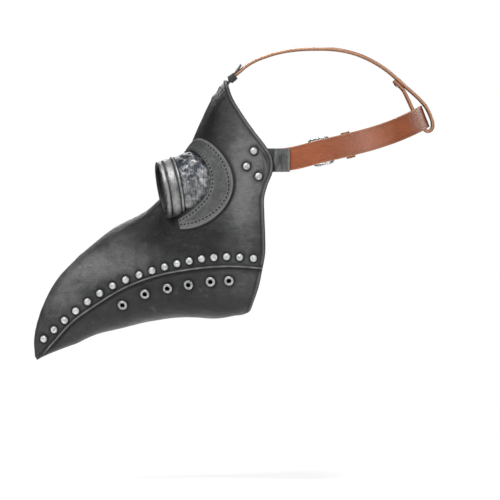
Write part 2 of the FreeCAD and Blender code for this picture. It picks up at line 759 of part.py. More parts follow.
def make_top_strap():
    """Strap over the crown whose rear end loops round the back strap."""
    line = Curve.along(TOP_LINE)
    outer = []
    inner = []
    for f in steps(0.0, 1.0, 110):
        y, z = line.at(f)
        ahead = line.at(min(f + 0.002, 1.0))
        behind = line.at(max(f - 0.002, 0.0))
        run = math.dist(ahead, behind)
        ny = -(ahead[1] - behind[1]) / run * STRAP_T / 2
        nz = (ahead[0] - behind[0]) / run * STRAP_T / 2
        outer.append(Vector(-STRAP_W / 2, y + ny, z + nz))
        inner.append(Vector(-STRAP_W / 2, y - ny, z - nz))
    edges = [profile_edge(outer), Part.makeLine(outer[-1], inner[-1]),
             profile_edge(inner[::-1]), Part.makeLine(inner[0], outer[0])]
    return Part.Face(Part.Wire(edges)).extrude(Vector(STRAP_W, 0, 0))


def loop_rivet_placement():
    out = Vector(0, *LOOP_RIVET_OUT)
    return FreeCAD.Placement(Vector(0, *LOOP_RIVET_AT), FreeCAD.Rotation(Vector(0, 0, 1), out))


def make_loop_rivet():
    """Flat two-part rivet that closes the rear loop."""
    top = STRAP_T / 2 + 0.05
    low = -STRAP_T * 1.5 - 1.1
    rivet_shape = revolved([(0, top + 1.1), (LOOP_RIVET_R - 0.6, top + 1.0), (LOOP_RIVET_R, top + 0.3),
                            (LOOP_RIVET_R, top), (LOOP_SHANK_R, top), (LOOP_SHANK_R, low),
                            (LOOP_RIVET_R, low), (LOOP_RIVET_R, low - 0.8), (0, low - 0.8)])
    rivet_shape.Placement = loop_rivet_placement()
    return rivet_shape


def keeper_plate(outline):
    """Prism on an (e, n) outline of the forehead keeper."""
    ey, ez = KEEPER_ALONG
    points = [(KEEPER_AT[0] + e * ey - n * ez, KEEPER_AT[1] + e * ez + n * ey) for e, n in outline]
    return plate(points, -KEEPER_HALF_W, KEEPER_HALF_W)


def make_forehead_keeper():
    """Dark tab: a tongue under the brow, two leaves round the strap end and a free tail."""
    gap = STRAP_T / 2 + KEEPER_FIT
    leaf = gap + KEEPER_T

    def angles(u):
        half = 0.0
        while surface(u, math.pi - half).x < KEEPER_HALF_W - 1.0:
            half += 0.005
        return steps(math.pi - half, math.pi + half, 9)

    tongue = shell_slab(steps(0.945, 0.997, 9), angles, lambda u: -WALL - TONGUE_FIT,
                        lambda u: -WALL - TONGUE_FIT - KEEPER_T)
    start = KEEPER_LEAF_START
    block = keeper_plate([(start - 1.2, -leaf), (start, -leaf), (start, leaf), (start - 1.2, leaf)])
    bridge = keeper_plate([(-7.4, BRIDGE_LOW), (start, BRIDGE_LOW), (start, BRIDGE_HIGH),
                           (-7.4, BRIDGE_HIGH)])
    inner = keeper_plate([(start, -leaf), (4.0, -leaf), (4.0, -gap), (start, -gap)])
    outer = keeper_plate([(start, gap), (5.0, gap), (15.4, 4.6), (14.9, 5.7), (4.6, leaf), (start, leaf)])
    under = tongue.fuse(bridge).cut(brow_space())
    return under.fuse([block, inner, outer]).removeSplitter()


def brow_space():
    """Shell and a little air under it at the top of the brow, kept free of the keeper."""
    return shell_slab(steps(0.93, 1.0, 12), lambda u: steps(math.pi - 0.6, math.pi + 0.6, 17),
                      lambda u: 2 * WALL, lambda u: -WALL - PARTING_GAP)


def line_of(name, shape):
    box = shape.BoundBox
    print("%-22s valid %s solids %2d volume %9.1f box %s" % (
        name, shape.isValid(), len(shape.Solids), shape.Volume,
        [round(v, 1) for v in (box.XMin, box.YMin, box.ZMin, box.XMax, box.YMax, box.ZMax)]))


def write(name, shape):
    line_of(name, shape)
    shape.exportStep("parts/%s.step" % name)


def write_pair(name, shape):
    write(name + "_left", shape)
    write(name + "_right", mirrored(shape))


def build_face():
    upper = make_upper_shell()
    lower = make_lower_shell()
    backing = make_backing()
    clearance = eye_clearance()
    rivets = [placed(rivet(WALL + 0.1 + BACKING_T + WASHER_T + 0.8), spot) for spot in rivet_spots()]
    burr = washer(BURR_R, RIVET_SHANK_R, -WALL - 0.5 - BACKING_T - WASHER_T, -WALL - 0.5 - BACKING_T)
    burrs = [placed(burr, spot) for spot in rivet_spots()]
    eyelet_spots = [locate(y, z) for y, z in EYELETS]
    eyelets = [placed(eyelet(WALL + 0.1 + BACKING_T + WASHER_T + 0.9), spot) for spot in eyelet_spots]
    ring = washer(EYELET_R, EYELET_BARREL_R, -WALL - 0.6 - BACKING_T - WASHER_T, -WALL - 0.6 - BACKING_T)
    washers = [placed(ring, spot) for spot in eyelet_spots]
    rivet_holes = [placed(rod(RIVET_SHANK_R, -9, 4), spot) for spot in rivet_spots()]
    eyelet_holes = [placed(rod(EYELET_BARREL_R, -9, 4), spot) for spot in eyelet_spots]
    temple_holes = [placed(rod(RIVET_SHANK_R, -9, 4), spot) for spot in temple_spots()]
    side_cuts = rivet_holes + temple_holes + [clearance]
    upper = upper.cut(side_cuts + [mirrored(c) for c in side_cuts])
    lower = lower.cut(eyelet_holes + [mirrored(c) for c in eyelet_holes])
    write("upper_shell", biggest(upper))
    write("lower_shell", biggest(lower))
    write_pair("seam_welt", make_welt())
    write_pair("seam_backing", biggest(backing.cut(rivet_holes + eyelet_holes)))
    write_pair("mouth_rivets", Part.makeCompound(rivets))
    write_pair("mouth_burrs", Part.makeCompound(burrs))
    write_pair("vent_eyelets", Part.makeCompound(eyelets))
    write_pair("vent_washers", Part.makeCompound(washers))
    write_pair("eye_flange", make_eye_flange(clearance))
    write_pair("eye_tube", biggest(make_eye_tube()))
    write_pair("eye_ring", make_eye_ring())
    write_pair("eye_lens", make_eye_lens())
    write_pair("lens_gasket", make_lens_gasket())


def build_harness():
    line = whole_back_line()
    holes = [placed(rod(RIVET_SHANK_R, -14, 4), spot) for spot in temple_spots()]
    burr = washer(BURR_R, RIVET_SHANK_R, -WALL - 3.4 - WASHER_T, -WALL - 3.4)
    write_pair("temple_tab", make_temple_tab().cut(holes))
    write_pair("temple_rivets", Part.makeCompound([placed(rivet(WALL + 4.6), s) for s in temple_spots()]))
    write_pair("temple_burrs", Part.makeCompound([placed(burr, s) for s in temple_spots()]))
    write("back_strap_long", biggest(make_long_strap(line)))
    write("back_strap_short", biggest(make_short_strap(line)))
    write("buckle_frame", at_heel(line, make_buckle_frame()))
    write("buckle_prong", at_heel(line, make_buckle_prong()))
    write("strap_keeper", make_strap_keeper(line))
    shank = rod(LOOP_SHANK_R, -9, 5)
    shank.Placement = loop_rivet_placement()
    write("top_strap", make_top_strap().cut(shank))
    write("loop_rivet", make_loop_rivet())
    write("forehead_keeper", make_forehead_keeper())


os.makedirs("parts", exist_ok=True)
build_face()
build_harness()
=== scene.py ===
import math

import bmesh
import bpy
import numpy as np
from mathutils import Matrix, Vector


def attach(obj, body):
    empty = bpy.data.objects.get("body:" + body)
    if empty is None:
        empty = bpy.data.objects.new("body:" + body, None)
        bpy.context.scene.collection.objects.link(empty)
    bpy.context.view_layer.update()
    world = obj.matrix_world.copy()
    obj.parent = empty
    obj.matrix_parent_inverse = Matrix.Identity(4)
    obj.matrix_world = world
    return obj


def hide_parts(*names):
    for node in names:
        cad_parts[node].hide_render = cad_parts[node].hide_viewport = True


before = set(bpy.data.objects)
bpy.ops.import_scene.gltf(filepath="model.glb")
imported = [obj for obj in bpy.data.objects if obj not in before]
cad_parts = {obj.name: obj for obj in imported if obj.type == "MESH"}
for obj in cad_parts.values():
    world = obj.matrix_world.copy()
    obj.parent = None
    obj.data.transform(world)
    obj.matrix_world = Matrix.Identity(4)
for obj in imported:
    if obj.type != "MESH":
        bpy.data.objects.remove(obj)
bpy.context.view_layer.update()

MM = 0.001
TURN = 2 * math.pi


def mm(rows):
    """Millimetres to metres, for a number or any nest of numbers."""
    return np.array(rows, float) * MM


# The mask's shell, as the CAD model shapes it
WALL = 2.4 * MM
PARTING_GAP = 0.3 * MM
ROUNDNESS_TOP = 0.04
ROUNDNESS_CHIN = 0.10
NECK_CUT = 22 * MM
FLOW_START = 0.50
RIDGE = mm([(-235.0, -187.0), (-235.7, -174.0), (-233.0, -157.0), (-227.0, -139.0), (-212.0, -112.0),
            (-189.0, -87.5), (-159.1, -64.0), (-123.2, -43.7), (-110.0, -30.0), (-99.0, -10.0),
            (-84.4, 16.5), (-72.8, 41.7), (-61.1, 65.0), (-49.5, 80.3)])
KEEL = mm([(-232.8, -191.1), (-223.0, -186.2), (-211.5, -181.4), (-196.9, -175.6), (-175.6, -165.9),
           (-148.4, -159.1), (-123.2, -154.2), (-101.9, -150.9), (-76.6, -150.3), (-49.5, -150.6),
           (-27.2, -147.4)])
HALF_WIDTH = [(0.0, 3.0), (0.04, 7.5), (0.10, 12.5), (0.20, 19.5), (0.35, 29.0), (0.54, 43.0),
              (0.65, 53.0), (0.77, 63.2), (0.90, 69.0), (1.0, 71.5)]
BROW_SWEEP = 8 * MM
BRIDGE_PINCH = 0.46
BRIDGE_AT = 0.60
BRIDGE_REACH = 0.15
REAR_EDGE = mm([(-147.4, -27.2), (-134.8, -23.3), (-118.3, -17.9), (-101.9, -14.5), (-86.3, -11.8),
                (-69.8, -11.8), (-48.5, -12.6), (-32.0, -12.6), (-21.3, -9.7), (-6.8, -4.4),
                (5.8, -5.2), (16.5, -11.6), (29.1, -21.3), (45.6, -33.0), (65.0, -44.6), (80.3, -49.5)])
MOUTH = mm([(-229.0, -188.2), (-216.3, -174.0), (-199.8, -156.0), (-174.6, -137.3), (-146.5, -120.5),
            (-119.3, -109.8), (-87.3, -102.8), (-49.5, -99.2), (-5.0, -101.5)])
NOTCH = 0.035

# Rivets and eyelets
RIVET_LINE = mm([(-225.6, -170.2), (-195.5, -143.7), (-159.6, -118.8), (-119.4, -103.1), (-71.1, -91.5),
                 (-47.7, -89.4), (-22.9, -90.9)])
RIVET_COUNT = 18
RIVET_BUNCHING = 0.0163
RIVET_R = 3.6 * MM
RIVET_RISE = 2.3 * MM
TEMPLE_RIVETS = mm([(-22.5, 11.3), (-29.4, -3.3), (-18.0, -12.9)])
EYELETS = mm([(-148.7, -136.7), (-127.0, -125.9), (-105.2, -120.2), (-85.0, -116.7), (-63.9, -113.5),
              (-46.2, -112.5)])
EYELET_R = 4.7 * MM
EYELET_HOLE_R = 2.0 * MM
EYELET_BARREL_R = 2.8 * MM

# Eyepieces; heights run along the axis from the mouth into the mask
MOUTH_CENTRE = mm((36.4, -111.4, -26.3))
EYE_AXIS = np.array((-0.155, 0.970, 0.185))
RING_LENGTH = 16.5 * MM
TUBE_BORE_R = 23.6 * MM
TUBE_BASE_R = 33 * MM
FLANGE_CENTRE = mm((35.9, -72.8, -20.5))
FLANGE_AXIS = np.array((0.689, -0.725, 0.0))
FLANGE_R = 43.6 * MM
FLANGE_T = 1.6 * MM
COLLAR_DEPTH = 9.0 * MM
COLLAR_MIN = 2.5 * MM

# Harness
STRAP_W = 22 * MM
STRAP_T = 2.2 * MM
STRAP_GROOVE_AT = 2.2 * MM
HEAD_CENTRE = mm((0, 50, 5))
HEAD_RADII = mm((77, 100, 105))
TEMPLE_LEAN = 0.16
TAB_END = 11.6 * MM
TAB_Z = mm((-8.7, 13.7))
TAB_T = 1.1 * MM
BACK_LINE = mm([(71.9, 1.6, 2.4), (73.9, 13.3, 4.0), (76.8, 40.0, 10.6), (75.6, 66.3, 16.8),
                (69.0, 91.2, 23.4), (57.0, 112.3, 30.6), (41.0, 128.7, 37.6), (21.0, 139.4, 43.0),
                (0.0, 142.9, 45.2)])
TOP_LINE = mm([(-45.5, 80.5), (-39.1, 85.5), (-25.6, 96.1), (-10.4, 102.8), (13.4, 108.5), (37.8, 109.9),
               (61.9, 108.5), (85.8, 101.3), (106.0, 89.3), (114.9, 81.8), (123.9, 73.8), (132.4, 66.4),
               (139.2, 59.8), (144.0, 54.0), (148.2, 45.6), (150.3, 38.4), (149.9, 34.1), (148.0, 31.7),
               (145.2, 31.4), (142.9, 33.4), (139.7, 37.6), (136.3, 42.3), (131.4, 52.6), (127.0, 62.2),
               (121.9, 71.6), (117.9, 75.8), (112.9, 80.0)])
LOOP_RIVET_AT = mm((0, 118.6, 78.6))
LOOP_RIVET_OUT = np.array((0.0, 0.664, 0.748))
KEEPER_AT = mm((-43.5, 82.0))
KEEPER_ALONG = np.array((0.786, 0.618))
KEEPER_LIFT = np.array((0, -KEEPER_ALONG[1], KEEPER_ALONG[0]))
HEEL_FROM_TEMPLE = 54 * MM
WIRE_R = 1.3 * MM
FRAME_REACH = 20 * MM
FRAME_HALF_W = 13 * MM
FRAME_FRONT_RISE = 2.8 * MM
FOLD_T = 1.8 * MM
TAIL_OVER = 42 * MM
HOLE_R = 1.6 * MM
FIRST_HOLE_AT = 12 * MM
HOLE_PITCH = 9 * MM
HOLES = 3

# View
LOOK_AT = mm((0.0, -26.2, -84.4))
CAMERA_FAR = 3.6
CAMERA_ELEVATION = math.radians(1.2)
LENS_MM = 267.2
FLOOR_Z = -0.315
FLOOR_REACH = 0.75
SKY_LIGHT = 0.10
SKY_SEEN = 1.0
# Name, place, width in metres and power in watts of each soft panel of light
PANELS = [("key", (1.1, -0.7, 1.5), 0.7, 36), ("front", (0.9, -1.9, 0.4), 0.7, 10),
          ("side", (1.7, 1.2, 0.5), 0.6, 16), ("top", (-0.5, 0.4, 1.7), 1.2, 10),
          ("rear", (-1.4, 1.2, 0.7), 1.0, 12), ("far_side", (-1.9, -0.3, 0.9), 0.8, 14)]


# ---------------------------------------------------------------- surface of the mask

class Curve:
    """Smooth curve through given points, each at its own knot, as in the CAD model."""

    def __init__(self, knots, points):
        self.knots = np.array(knots, float)
        self.points = np.array(points, float).reshape(len(self.knots), -1)
        runs = np.diff(self.knots)[:, None]
        secants = np.diff(self.points, axis=0) / runs
        inner = (secants[:-1] * runs[1:] + secants[1:] * runs[:-1]) / (runs[1:] + runs[:-1])
        self.slopes = np.vstack([secants[:1], inner, secants[-1:]])

    @classmethod
    def along(cls, points):
        """Curve whose parameter is the fraction of the distance from point to point."""
        points = np.array(points, float)
        runs = np.linalg.norm(np.diff(points, axis=0), axis=1)
        return cls(np.concatenate([[0.0], np.cumsum(runs)]) / runs.sum(), points)

    @classmethod
    def of(cls, pairs):
        """Curve of the second number of each pair against the first."""
        pairs = np.array(pairs, float)
        return cls(pairs[:, 0], pairs[:, 1])

    def at(self, x):
        x = np.asarray(x, float)
        i = np.clip(np.searchsorted(self.knots, x, side="left") - 1, 0, len(self.knots) - 2)
        run = self.knots[i + 1] - self.knots[i]
        t = ((x - self.knots[i]) / run)[..., None]
        run = run[..., None]
        a, b = self.points[i], self.points[i + 1]
        m, n = self.slopes[i], self.slopes[i + 1]
        rise = t * t * (3 - 2 * t) * (b - a)
        return a + rise + run * (t * (1 - t) * (1 - t) * m + t * t * (t - 1) * n)

    def value(self, x):
        return self.at(x)[..., 0]


ridge = Curve.along(RIDGE)
keel = Curve.along(KEEL)
half_width = Curve.of([(u, w * MM) for u, w in HALF_WIDTH])
rear_edge = Curve.of(REAR_EDGE)
mouth = Curve.of(MOUTH)
TOE = keel.at(1.0)
BROW = ridge.at(1.0)


def ease(x):
    """Smooth step from 0 to 1."""
    x = np.clip(x, 0.0, 1.0)
    return x * x * (3 - 2 * x)


def bell(x):
    """1 at nought, falling away smoothly on either side."""
    return np.exp(-x * x)


def rear_flow(u, z, angle):
    """How far a point is carried back so that the last section follows the rear edge."""
    chord = TOE[0] + (z - TOE[1]) * (BROW[0] - TOE[0]) / (BROW[1] - TOE[1])
    under_chin = np.abs(np.remainder(angle + math.pi, TURN) - math.pi)
    shift = rear_edge.value(z) - chord - NECK_CUT * (1 - ease(under_chin / 0.6))
    return shift * np.maximum(0.0, (u - FLOW_START) / (1 - FLOW_START)) ** 2


def surface(u, angle):
    """Outer surface: u runs from the tip to the rear edge, angle from the keel over the left side."""
    u, angle = np.broadcast_arrays(np.asarray(u, float), np.asarray(angle, float))
    chin = ROUNDNESS_TOP + (ROUNDNESS_CHIN - ROUNDNESS_TOP) * ease((u - 0.45) / 0.5)
    a = ROUNDNESS_TOP + (chin - ROUNDNESS_TOP) * (1 + np.cos(angle)) / 2
    side = (np.sin(angle) + a * np.sin(3 * angle)) / (1 - a)
    height = (1 - (np.cos(angle) - a * np.cos(3 * angle)) / (1 - a)) / 2
    low = keel.at(u)
    high = ridge.at(u)
    y = low[..., 0] + height * (high[..., 0] - low[..., 0])
    z = low[..., 1] + height * (high[..., 1] - low[..., 1])
    z_edge = TOE[1] + height * (BROW[1] - TOE[1])
    brow = np.sin(math.pi * np.clip((u - 0.60) / 0.40, 0.0, 1.0)) ** 2
    y = y + BROW_SWEEP * brow * side * side + rear_flow(u, z_edge, angle)
    near_bridge = 1 - ease(np.abs(u - BRIDGE_AT) / BRIDGE_REACH)
    pinch = 1 - BRIDGE_PINCH * near_bridge * ease((-np.cos(angle) - 0.15) / 0.6)
    return np.stack([half_width.value(u) * side * pinch, y, z], -1)


def unit(v):
    return v / np.linalg.norm(v, axis=-1, keepdims=True)


def normal(u, angle):
    """Outward unit normal of the outer surface."""
    du, da = 0.002, 0.01
    u0 = np.minimum(u, 1 - du)
    along = surface(u0 + du, angle) - surface(u0, angle)
    around = surface(u, np.asarray(angle) + da) - surface(u, np.asarray(angle) - da)
    return unit(np.cross(along, around))


def offset(u, angle, rise):
    """Points at a height above the outer surface."""
    return surface(u, angle) + normal(u, angle) * np.asarray(rise)[..., None]


def wall(u):
    """Shell thickness, thinner in the narrow tip."""
    return np.minimum(WALL, 0.30 * half_width.value(u))


def mouth_angle(u):
    """Angle at which section u crosses the mouth line on the left side."""
    u = np.asarray(u, float)
    low = np.zeros_like(u)
    high = np.full_like(u, 2.4)
    for _ in range(30):
        middle = (low + high) / 2
        p = surface(u, middle)
        below = p[..., 2] < mouth.value(p[..., 1])
        low = np.where(below, middle, low)
        high = np.where(below, high, middle)
    return low


def arc_rate(u, angle):
    """Metres of surface for each radian round the section."""
    span = surface(u, angle + 0.01) - surface(u, angle - 0.01)
    return np.linalg.norm(span, axis=-1) / 0.02


def hit(origin, e1, e2, axis, targets):
    """(u, angle) where lines along an axis, at (e1, e2) places about the origin, meet the left side."""
    u, a = np.meshgrid(np.linspace(0.02, 1, 100), np.linspace(0.06, math.pi, 80))
    u, a = u.ravel(), a.ravel()
    facing = normal(u, a) @ axis > 0.05
    u, a = u[facing], a[facing]
    off = surface(u, a) - origin
    flat = np.stack([off @ e1, off @ e2], -1)
    targets = np.asarray(targets, float)
    near = np.argmin(np.linalg.norm(flat[None] - targets[:, None], axis=-1), axis=1)
    u, a = u[near], a[near]
    d = 1e-4
    for _ in range(14):
        p = surface(u, a)
        pu = (surface(u + d, a) - p) / d
        pa = (surface(u, a + d) - p) / d
        miss = targets - np.stack([(p - origin) @ e1, (p - origin) @ e2], -1)
        m11, m12, m21, m22 = pu @ e1, pa @ e1, pu @ e2, pa @ e2
        det = m11 * m22 - m12 * m21
        det = np.where(np.abs(det) < 1e-7, 1e-7, det)
        u = np.clip(u + np.clip((miss[:, 0] * m22 - miss[:, 1] * m12) / det, -0.05, 0.05), 0.01, 1.0)
        a = a + np.clip((m11 * miss[:, 1] - m21 * miss[:, 0]) / det, -0.1, 0.1)
    return u, a


X, Y, Z = np.eye(3)


def locate(points):
    """(u, angle) of left-hand surface points seen at (y, z) from the side."""
    return hit(np.zeros(3), Y, Z, X, points)


def rivet_points():
    """(y, z) of the mouth rivets, a little further apart in the front half of the row."""
    line = Curve.along(RIVET_LINE)
    f = np.arange(RIVET_COUNT) / (RIVET_COUNT - 1)
    return line.at(f + RIVET_BUNCHING * (1 - np.cos(TURN * f)))


RIVETS = locate(rivet_points())
TEMPLES = locate(TEMPLE_RIVETS)
VENTS = locate(EYELETS)


# ---------------------------------------------------------------- random fields

def lattice(cell, seed):
    """Random number from -1 to 1 for each whole-number cell."""
    h = (cell[..., 0] * 73856093) ^ (cell[..., 1] * 19349663) ^ (cell[..., 2] * 83492791) ^ (seed * 40503)
    h = ((h ^ (h >> 13)) * 1274126177) & 0x7FFFFFFF
    h = ((h ^ (h >> 15)) * 668265263) & 0x7FFFFFFF
    return ((h >> 8) & 0xFFFF) / 32767.5 - 1


def field(points, size, seed=0):
    """Smooth random field, from -1 to 1, with features of a given size."""
    scaled = np.asarray(points) / size + 31.7
    base = np.floor(scaled).astype(np.int64)
    f = scaled - base
    f = f * f * (3 - 2 * f)
    total = 0
    for corner in np.ndindex(2, 2, 2):
        share = np.prod(np.where(corner, f, 1 - f), axis=-1)
        total = total + share * lattice(base + np.array(corner), seed)
    return total


def layered(points, size, seed, layers=3):
    """Sum of random fields, each half the size and strength of the one before."""
    total = 0
    for i in range(layers):
        total = total + field(points, size / 2 ** i, seed + i) / 2 ** i
    return total


def cells(points, size, seed=0):
    """Distance to the nearest of many scattered seeds, from 0 to about 1."""
    scaled = np.asarray(points) / size + 31.7
    base = np.floor(scaled).astype(np.int64)
    best = np.full(scaled.shape[:-1], 9.0)
    for corner in np.ndindex(3, 3, 3):
        cell = base + np.array(corner) - 1
        spot = cell + 0.5 + 0.45 * np.stack([lattice(cell, seed + k) for k in (1, 2, 3)], -1)
        best = np.minimum(best, np.linalg.norm(spot - scaled, axis=-1))
    return best


# ---------------------------------------------------------------- mesh helpers

def new_object(name, points, faces, smooth=50):
    mesh = bpy.data.meshes.new(name)
    mesh.from_pydata(np.asarray(points).reshape(-1, 3).tolist(), [], [list(f) for f in faces])
    mesh.update()
    mesh.shade_smooth()
    shape = bpy.data.objects.new(name, mesh)
    bpy.context.scene.collection.objects.link(shape)
    face_out(shape)
    mesh.set_sharp_from_angle(angle=math.radians(smooth))
    return shape


def face_out(shape):
    """Makes every face of a closed mesh look outward."""
    work = bmesh.new()
    work.from_mesh(shape.data)
    bmesh.ops.recalc_face_normals(work, faces=work.faces)
    work.to_mesh(shape.data)
    work.free()


def grid_faces(rows, columns, closed_rows=False, closed_columns=False, start=0):
    """Quads of a grid whose points are numbered row by row."""
    i = np.arange(rows if closed_rows else rows - 1)[:, None]
    j = np.arange(columns if closed_columns else columns - 1)[None, :]
    i1 = (i + 1) % rows
    j1 = (j + 1) % columns
    quads = np.stack(np.broadcast_arrays(
        i * columns + j, i * columns + j1, i1 * columns + j1, i1 * columns + j), -1)
    return (quads.reshape(-1, 4) + start).tolist()


def slab_faces(rows, columns, closed_rows=False, closed_columns=False):
    """Faces of two grids, one behind the other, closed round their open edges."""
    back = rows * columns
    faces = grid_faces(rows, columns, closed_rows, closed_columns)
    faces += grid_faces(rows, columns, closed_rows, closed_columns, back)
    loops = []
    if not closed_rows:
        loops += [[j for j in range(columns)], [(rows - 1) * columns + j for j in range(columns)]]
    if not closed_columns:
        loops += [[i * columns for i in range(rows)], [i * columns + columns - 1 for i in range(rows)]]
    for loop in loops:
        ring = loop + loop[:1] if (len(loop) == columns and closed_columns) or (
            len(loop) == rows and closed_rows) else loop
        faces += [(a, b, b + back, a + back) for a, b in zip(ring, ring[1:])]
    return faces


def slab(name, outer, inner, closed_rows=False, closed_columns=False, smooth=50):
    """Closed mesh between two grids of points."""
    rows, columns = outer.shape[:2]
    points = np.concatenate([outer.reshape(-1, 3), inner.reshape(-1, 3)])
    return new_object(name, points, slab_faces(rows, columns, closed_rows, closed_columns), smooth)


def attribute(shape, name, values):
    """One number for each point of a mesh, for its material to read."""
    made = shape.data.attributes.new(name, "FLOAT", "POINT")
    made.data.foreach_set("value", np.asarray(values, np.float32).ravel())


def face_and_back(shape, name, face, back=0.0):
    """Attribute of a slab: one grid of numbers on its face, one grid or one number on its back."""
    face = np.asarray(face)
    back = np.broadcast_to(back, face.shape)
    attribute(shape, name, np.concatenate([face.ravel(), back.ravel()]))


def even(shape, **levels):
    """The same number at every point of a mesh, for each attribute named."""
    for name, level in levels.items():
        attribute(shape, name, np.full(len(shape.data.vertices), level))


def clustered(length, radius, pitch):
    """Places along a length, from 0 to 1, close together where the ends are rounded."""
    curl = radius * (1 - np.cos(np.linspace(0, math.pi / 2, 5)))
    count = max(3, int(round((length - 2 * radius) / pitch)))
    middle = np.linspace(radius, length - radius, count + 1)[1:-1]
    return np.concatenate([curl, middle, (length - curl)[::-1]]) / length


def edge_round(distance, radius):
    """Fraction of the full thickness at a distance from a rounded edge."""
    x = np.clip(1 - distance / radius, 0, 1)
    return 0.30 + 0.70 * np.sqrt(1 - x * x)


def apply_modifiers(shape):
    """Keeps what the modifiers make as the object's own mesh."""
    depsgraph = bpy.context.evaluated_depsgraph_get()
    made = bpy.data.meshes.new_from_object(shape.evaluated_get(depsgraph), depsgraph=depsgraph)
    old = shape.data
    shape.modifiers.clear()
    shape.data = made
    bpy.data.meshes.remove(old)


def cut_out(shape, cutters):
    """Cuts closed cutter meshes out of a closed mesh."""
    for cutter in cutters:
        knife = shape.modifiers.new("cut", "BOOLEAN")
        knife.operation = "DIFFERENCE"
        knife.solver = "MANIFOLD"
        knife.object = cutter
    apply_modifiers(shape)
    for cutter in cutters:
        bpy.data.objects.remove(cutter)


def joined(name, shapes):
    """One object made of several meshes."""
    mesh = bpy.data.meshes.new(name)
    work = bmesh.new()
    for shape in shapes:
        work.from_mesh(shape.data)
    work.to_mesh(mesh)
    work.free()
    made = bpy.data.objects.new(name, mesh)
    bpy.context.scene.collection.objects.link(made)
    for material in shapes[0].data.materials:
        mesh.materials.append(material)
    for shape in shapes:
        bpy.data.objects.remove(shape)
    return made


def mirror_copy(shape, name):
    """The same mesh on the wearer's right."""
    twin = shape.copy()
    twin.data = shape.data.copy()
    twin.name = name
    twin.data.name = name
    bpy.context.scene.collection.objects.link(twin)
    work = bmesh.new()
    work.from_mesh(twin.data)
    for vertex in work.verts:
        vertex.co.x = -vertex.co.x
    bmesh.ops.reverse_faces(work, faces=work.faces)
    work.to_mesh(twin.data)
    work.free()
    return twin


def place_along(points):
    """Distance of each point of a line from its start."""
    steps = np.linalg.norm(np.diff(points, axis=0), axis=-1)
    return np.concatenate([[0], np.cumsum(steps)])


def down_rows(row_values, like):
    """One value for each row of a grid, repeated across it."""
    return np.broadcast_to(row_values[:, None], like.shape)


def mesh_points(shape):
    return np.array([vertex.co for vertex in shape.data.vertices])


def axes_about(out):
    """Two unit vectors square to a direction; the second is as near to +Z as it can be."""
    out = unit(np.asarray(out, float))
    up = Z if abs(out[2]) < 0.95 else Y
    e2 = unit(up - out * (up @ out))
    return np.cross(e2, out), e2, out


def filleted(corners, radius, steps=4):
    """Closed outline with each corner rounded."""
    corners = np.asarray(corners, float)
    result = []
    for i in range(len(corners)):
        here = corners[i]
        back = corners[i - 1] - here
        ahead = corners[(i + 1) % len(corners)] - here
        cut = min(radius, 0.45 * np.linalg.norm(back), 0.45 * np.linalg.norm(ahead))
        start = here + unit(back) * cut
        stop = here + unit(ahead) * cut
        for t in np.linspace(0, 1, steps + 1):
            result.append((1 - t) ** 2 * start + 2 * t * (1 - t) * here + t * t * stop)
    return np.array(result)


def turned_out(normals, points, heart):
    """The same normals, each turned to face away from a point."""
    return normals * np.sign(np.sum(normals * (points - heart), axis=-1, keepdims=True))


def rod_outline(radius, low, high, core=0.01 * MM):
    """Outline of a plain round bar, for lathe; core is the pinhole left on its axis."""
    return [(core, low), (radius, low), (radius, high), (core, high)]


def lathe(name, outline, centre, out, segments=96, dents=None, smooth=40):
    """Solid of revolution from a closed (radius, height) outline; dents moves its points."""
    e1, e2, out = axes_about(out)
    outline = np.asarray(outline, float)
    angle = np.arange(segments) / segments * TURN
    spoke = np.cos(angle)[:, None, None] * e1 + np.sin(angle)[:, None, None] * e2
    points = centre + spoke * outline[None, :, :1] + out * outline[None, :, 1:]
    if dents is not None:
        points = dents(points, spoke)
    faces = grid_faces(segments, len(outline), True, True)
    return new_object(name, points, faces, smooth)


def tube(name, path, radii, sides=16, closed=False):
    """Round bar along a path; its ends are drawn in to a small disc."""
    path = np.asarray(path, float)
    count = len(path)
    radii = np.broadcast_to(radii, count)
    if closed:
        ahead = np.roll(path, -1, 0) - np.roll(path, 1, 0)
    else:
        ahead = np.gradient(path, axis=0)
    ahead = unit(ahead)
    side = unit(np.cross(ahead[0], Z if abs(ahead[0][2]) < 0.9 else X))
    rings = []
    angle = np.arange(sides) / sides * TURN
    for i in range(count):
        side = unit(side - ahead[i] * (side @ ahead[i]))
        other = np.cross(ahead[i], side)
        rings.append(path[i] + radii[i] * (np.cos(angle)[:, None] * side + np.sin(angle)[:, None] * other))
    faces = grid_faces(count, sides, closed, True)
    if not closed:
        faces += [list(range(sides)), list(range((count - 1) * sides, count * sides))]
    return new_object(name, np.array(rings), faces)


def finished(shape, body, nodes, slot, *materials):
    """Gives a piece its materials and body, and hides the CAD nodes that it stands for."""
    if materials:
        shape.data.materials.clear()
        for material in materials:
            shape.data.materials.append(material)
    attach(shape, body)
    if nodes:
        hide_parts(*nodes)
    return shape


def finished_pair(left, name, node, slot, material):
    """Finishes a piece on the mask's left side and its mirror image on the right."""
    right = mirror_copy(left, name + "_right")
    for shape, side in ((left, "_left"), (right, "_right")):
        finished(shape, "mask", [node + side] if node else [], slot, material)


# ---------------------------------------------------------------- materials

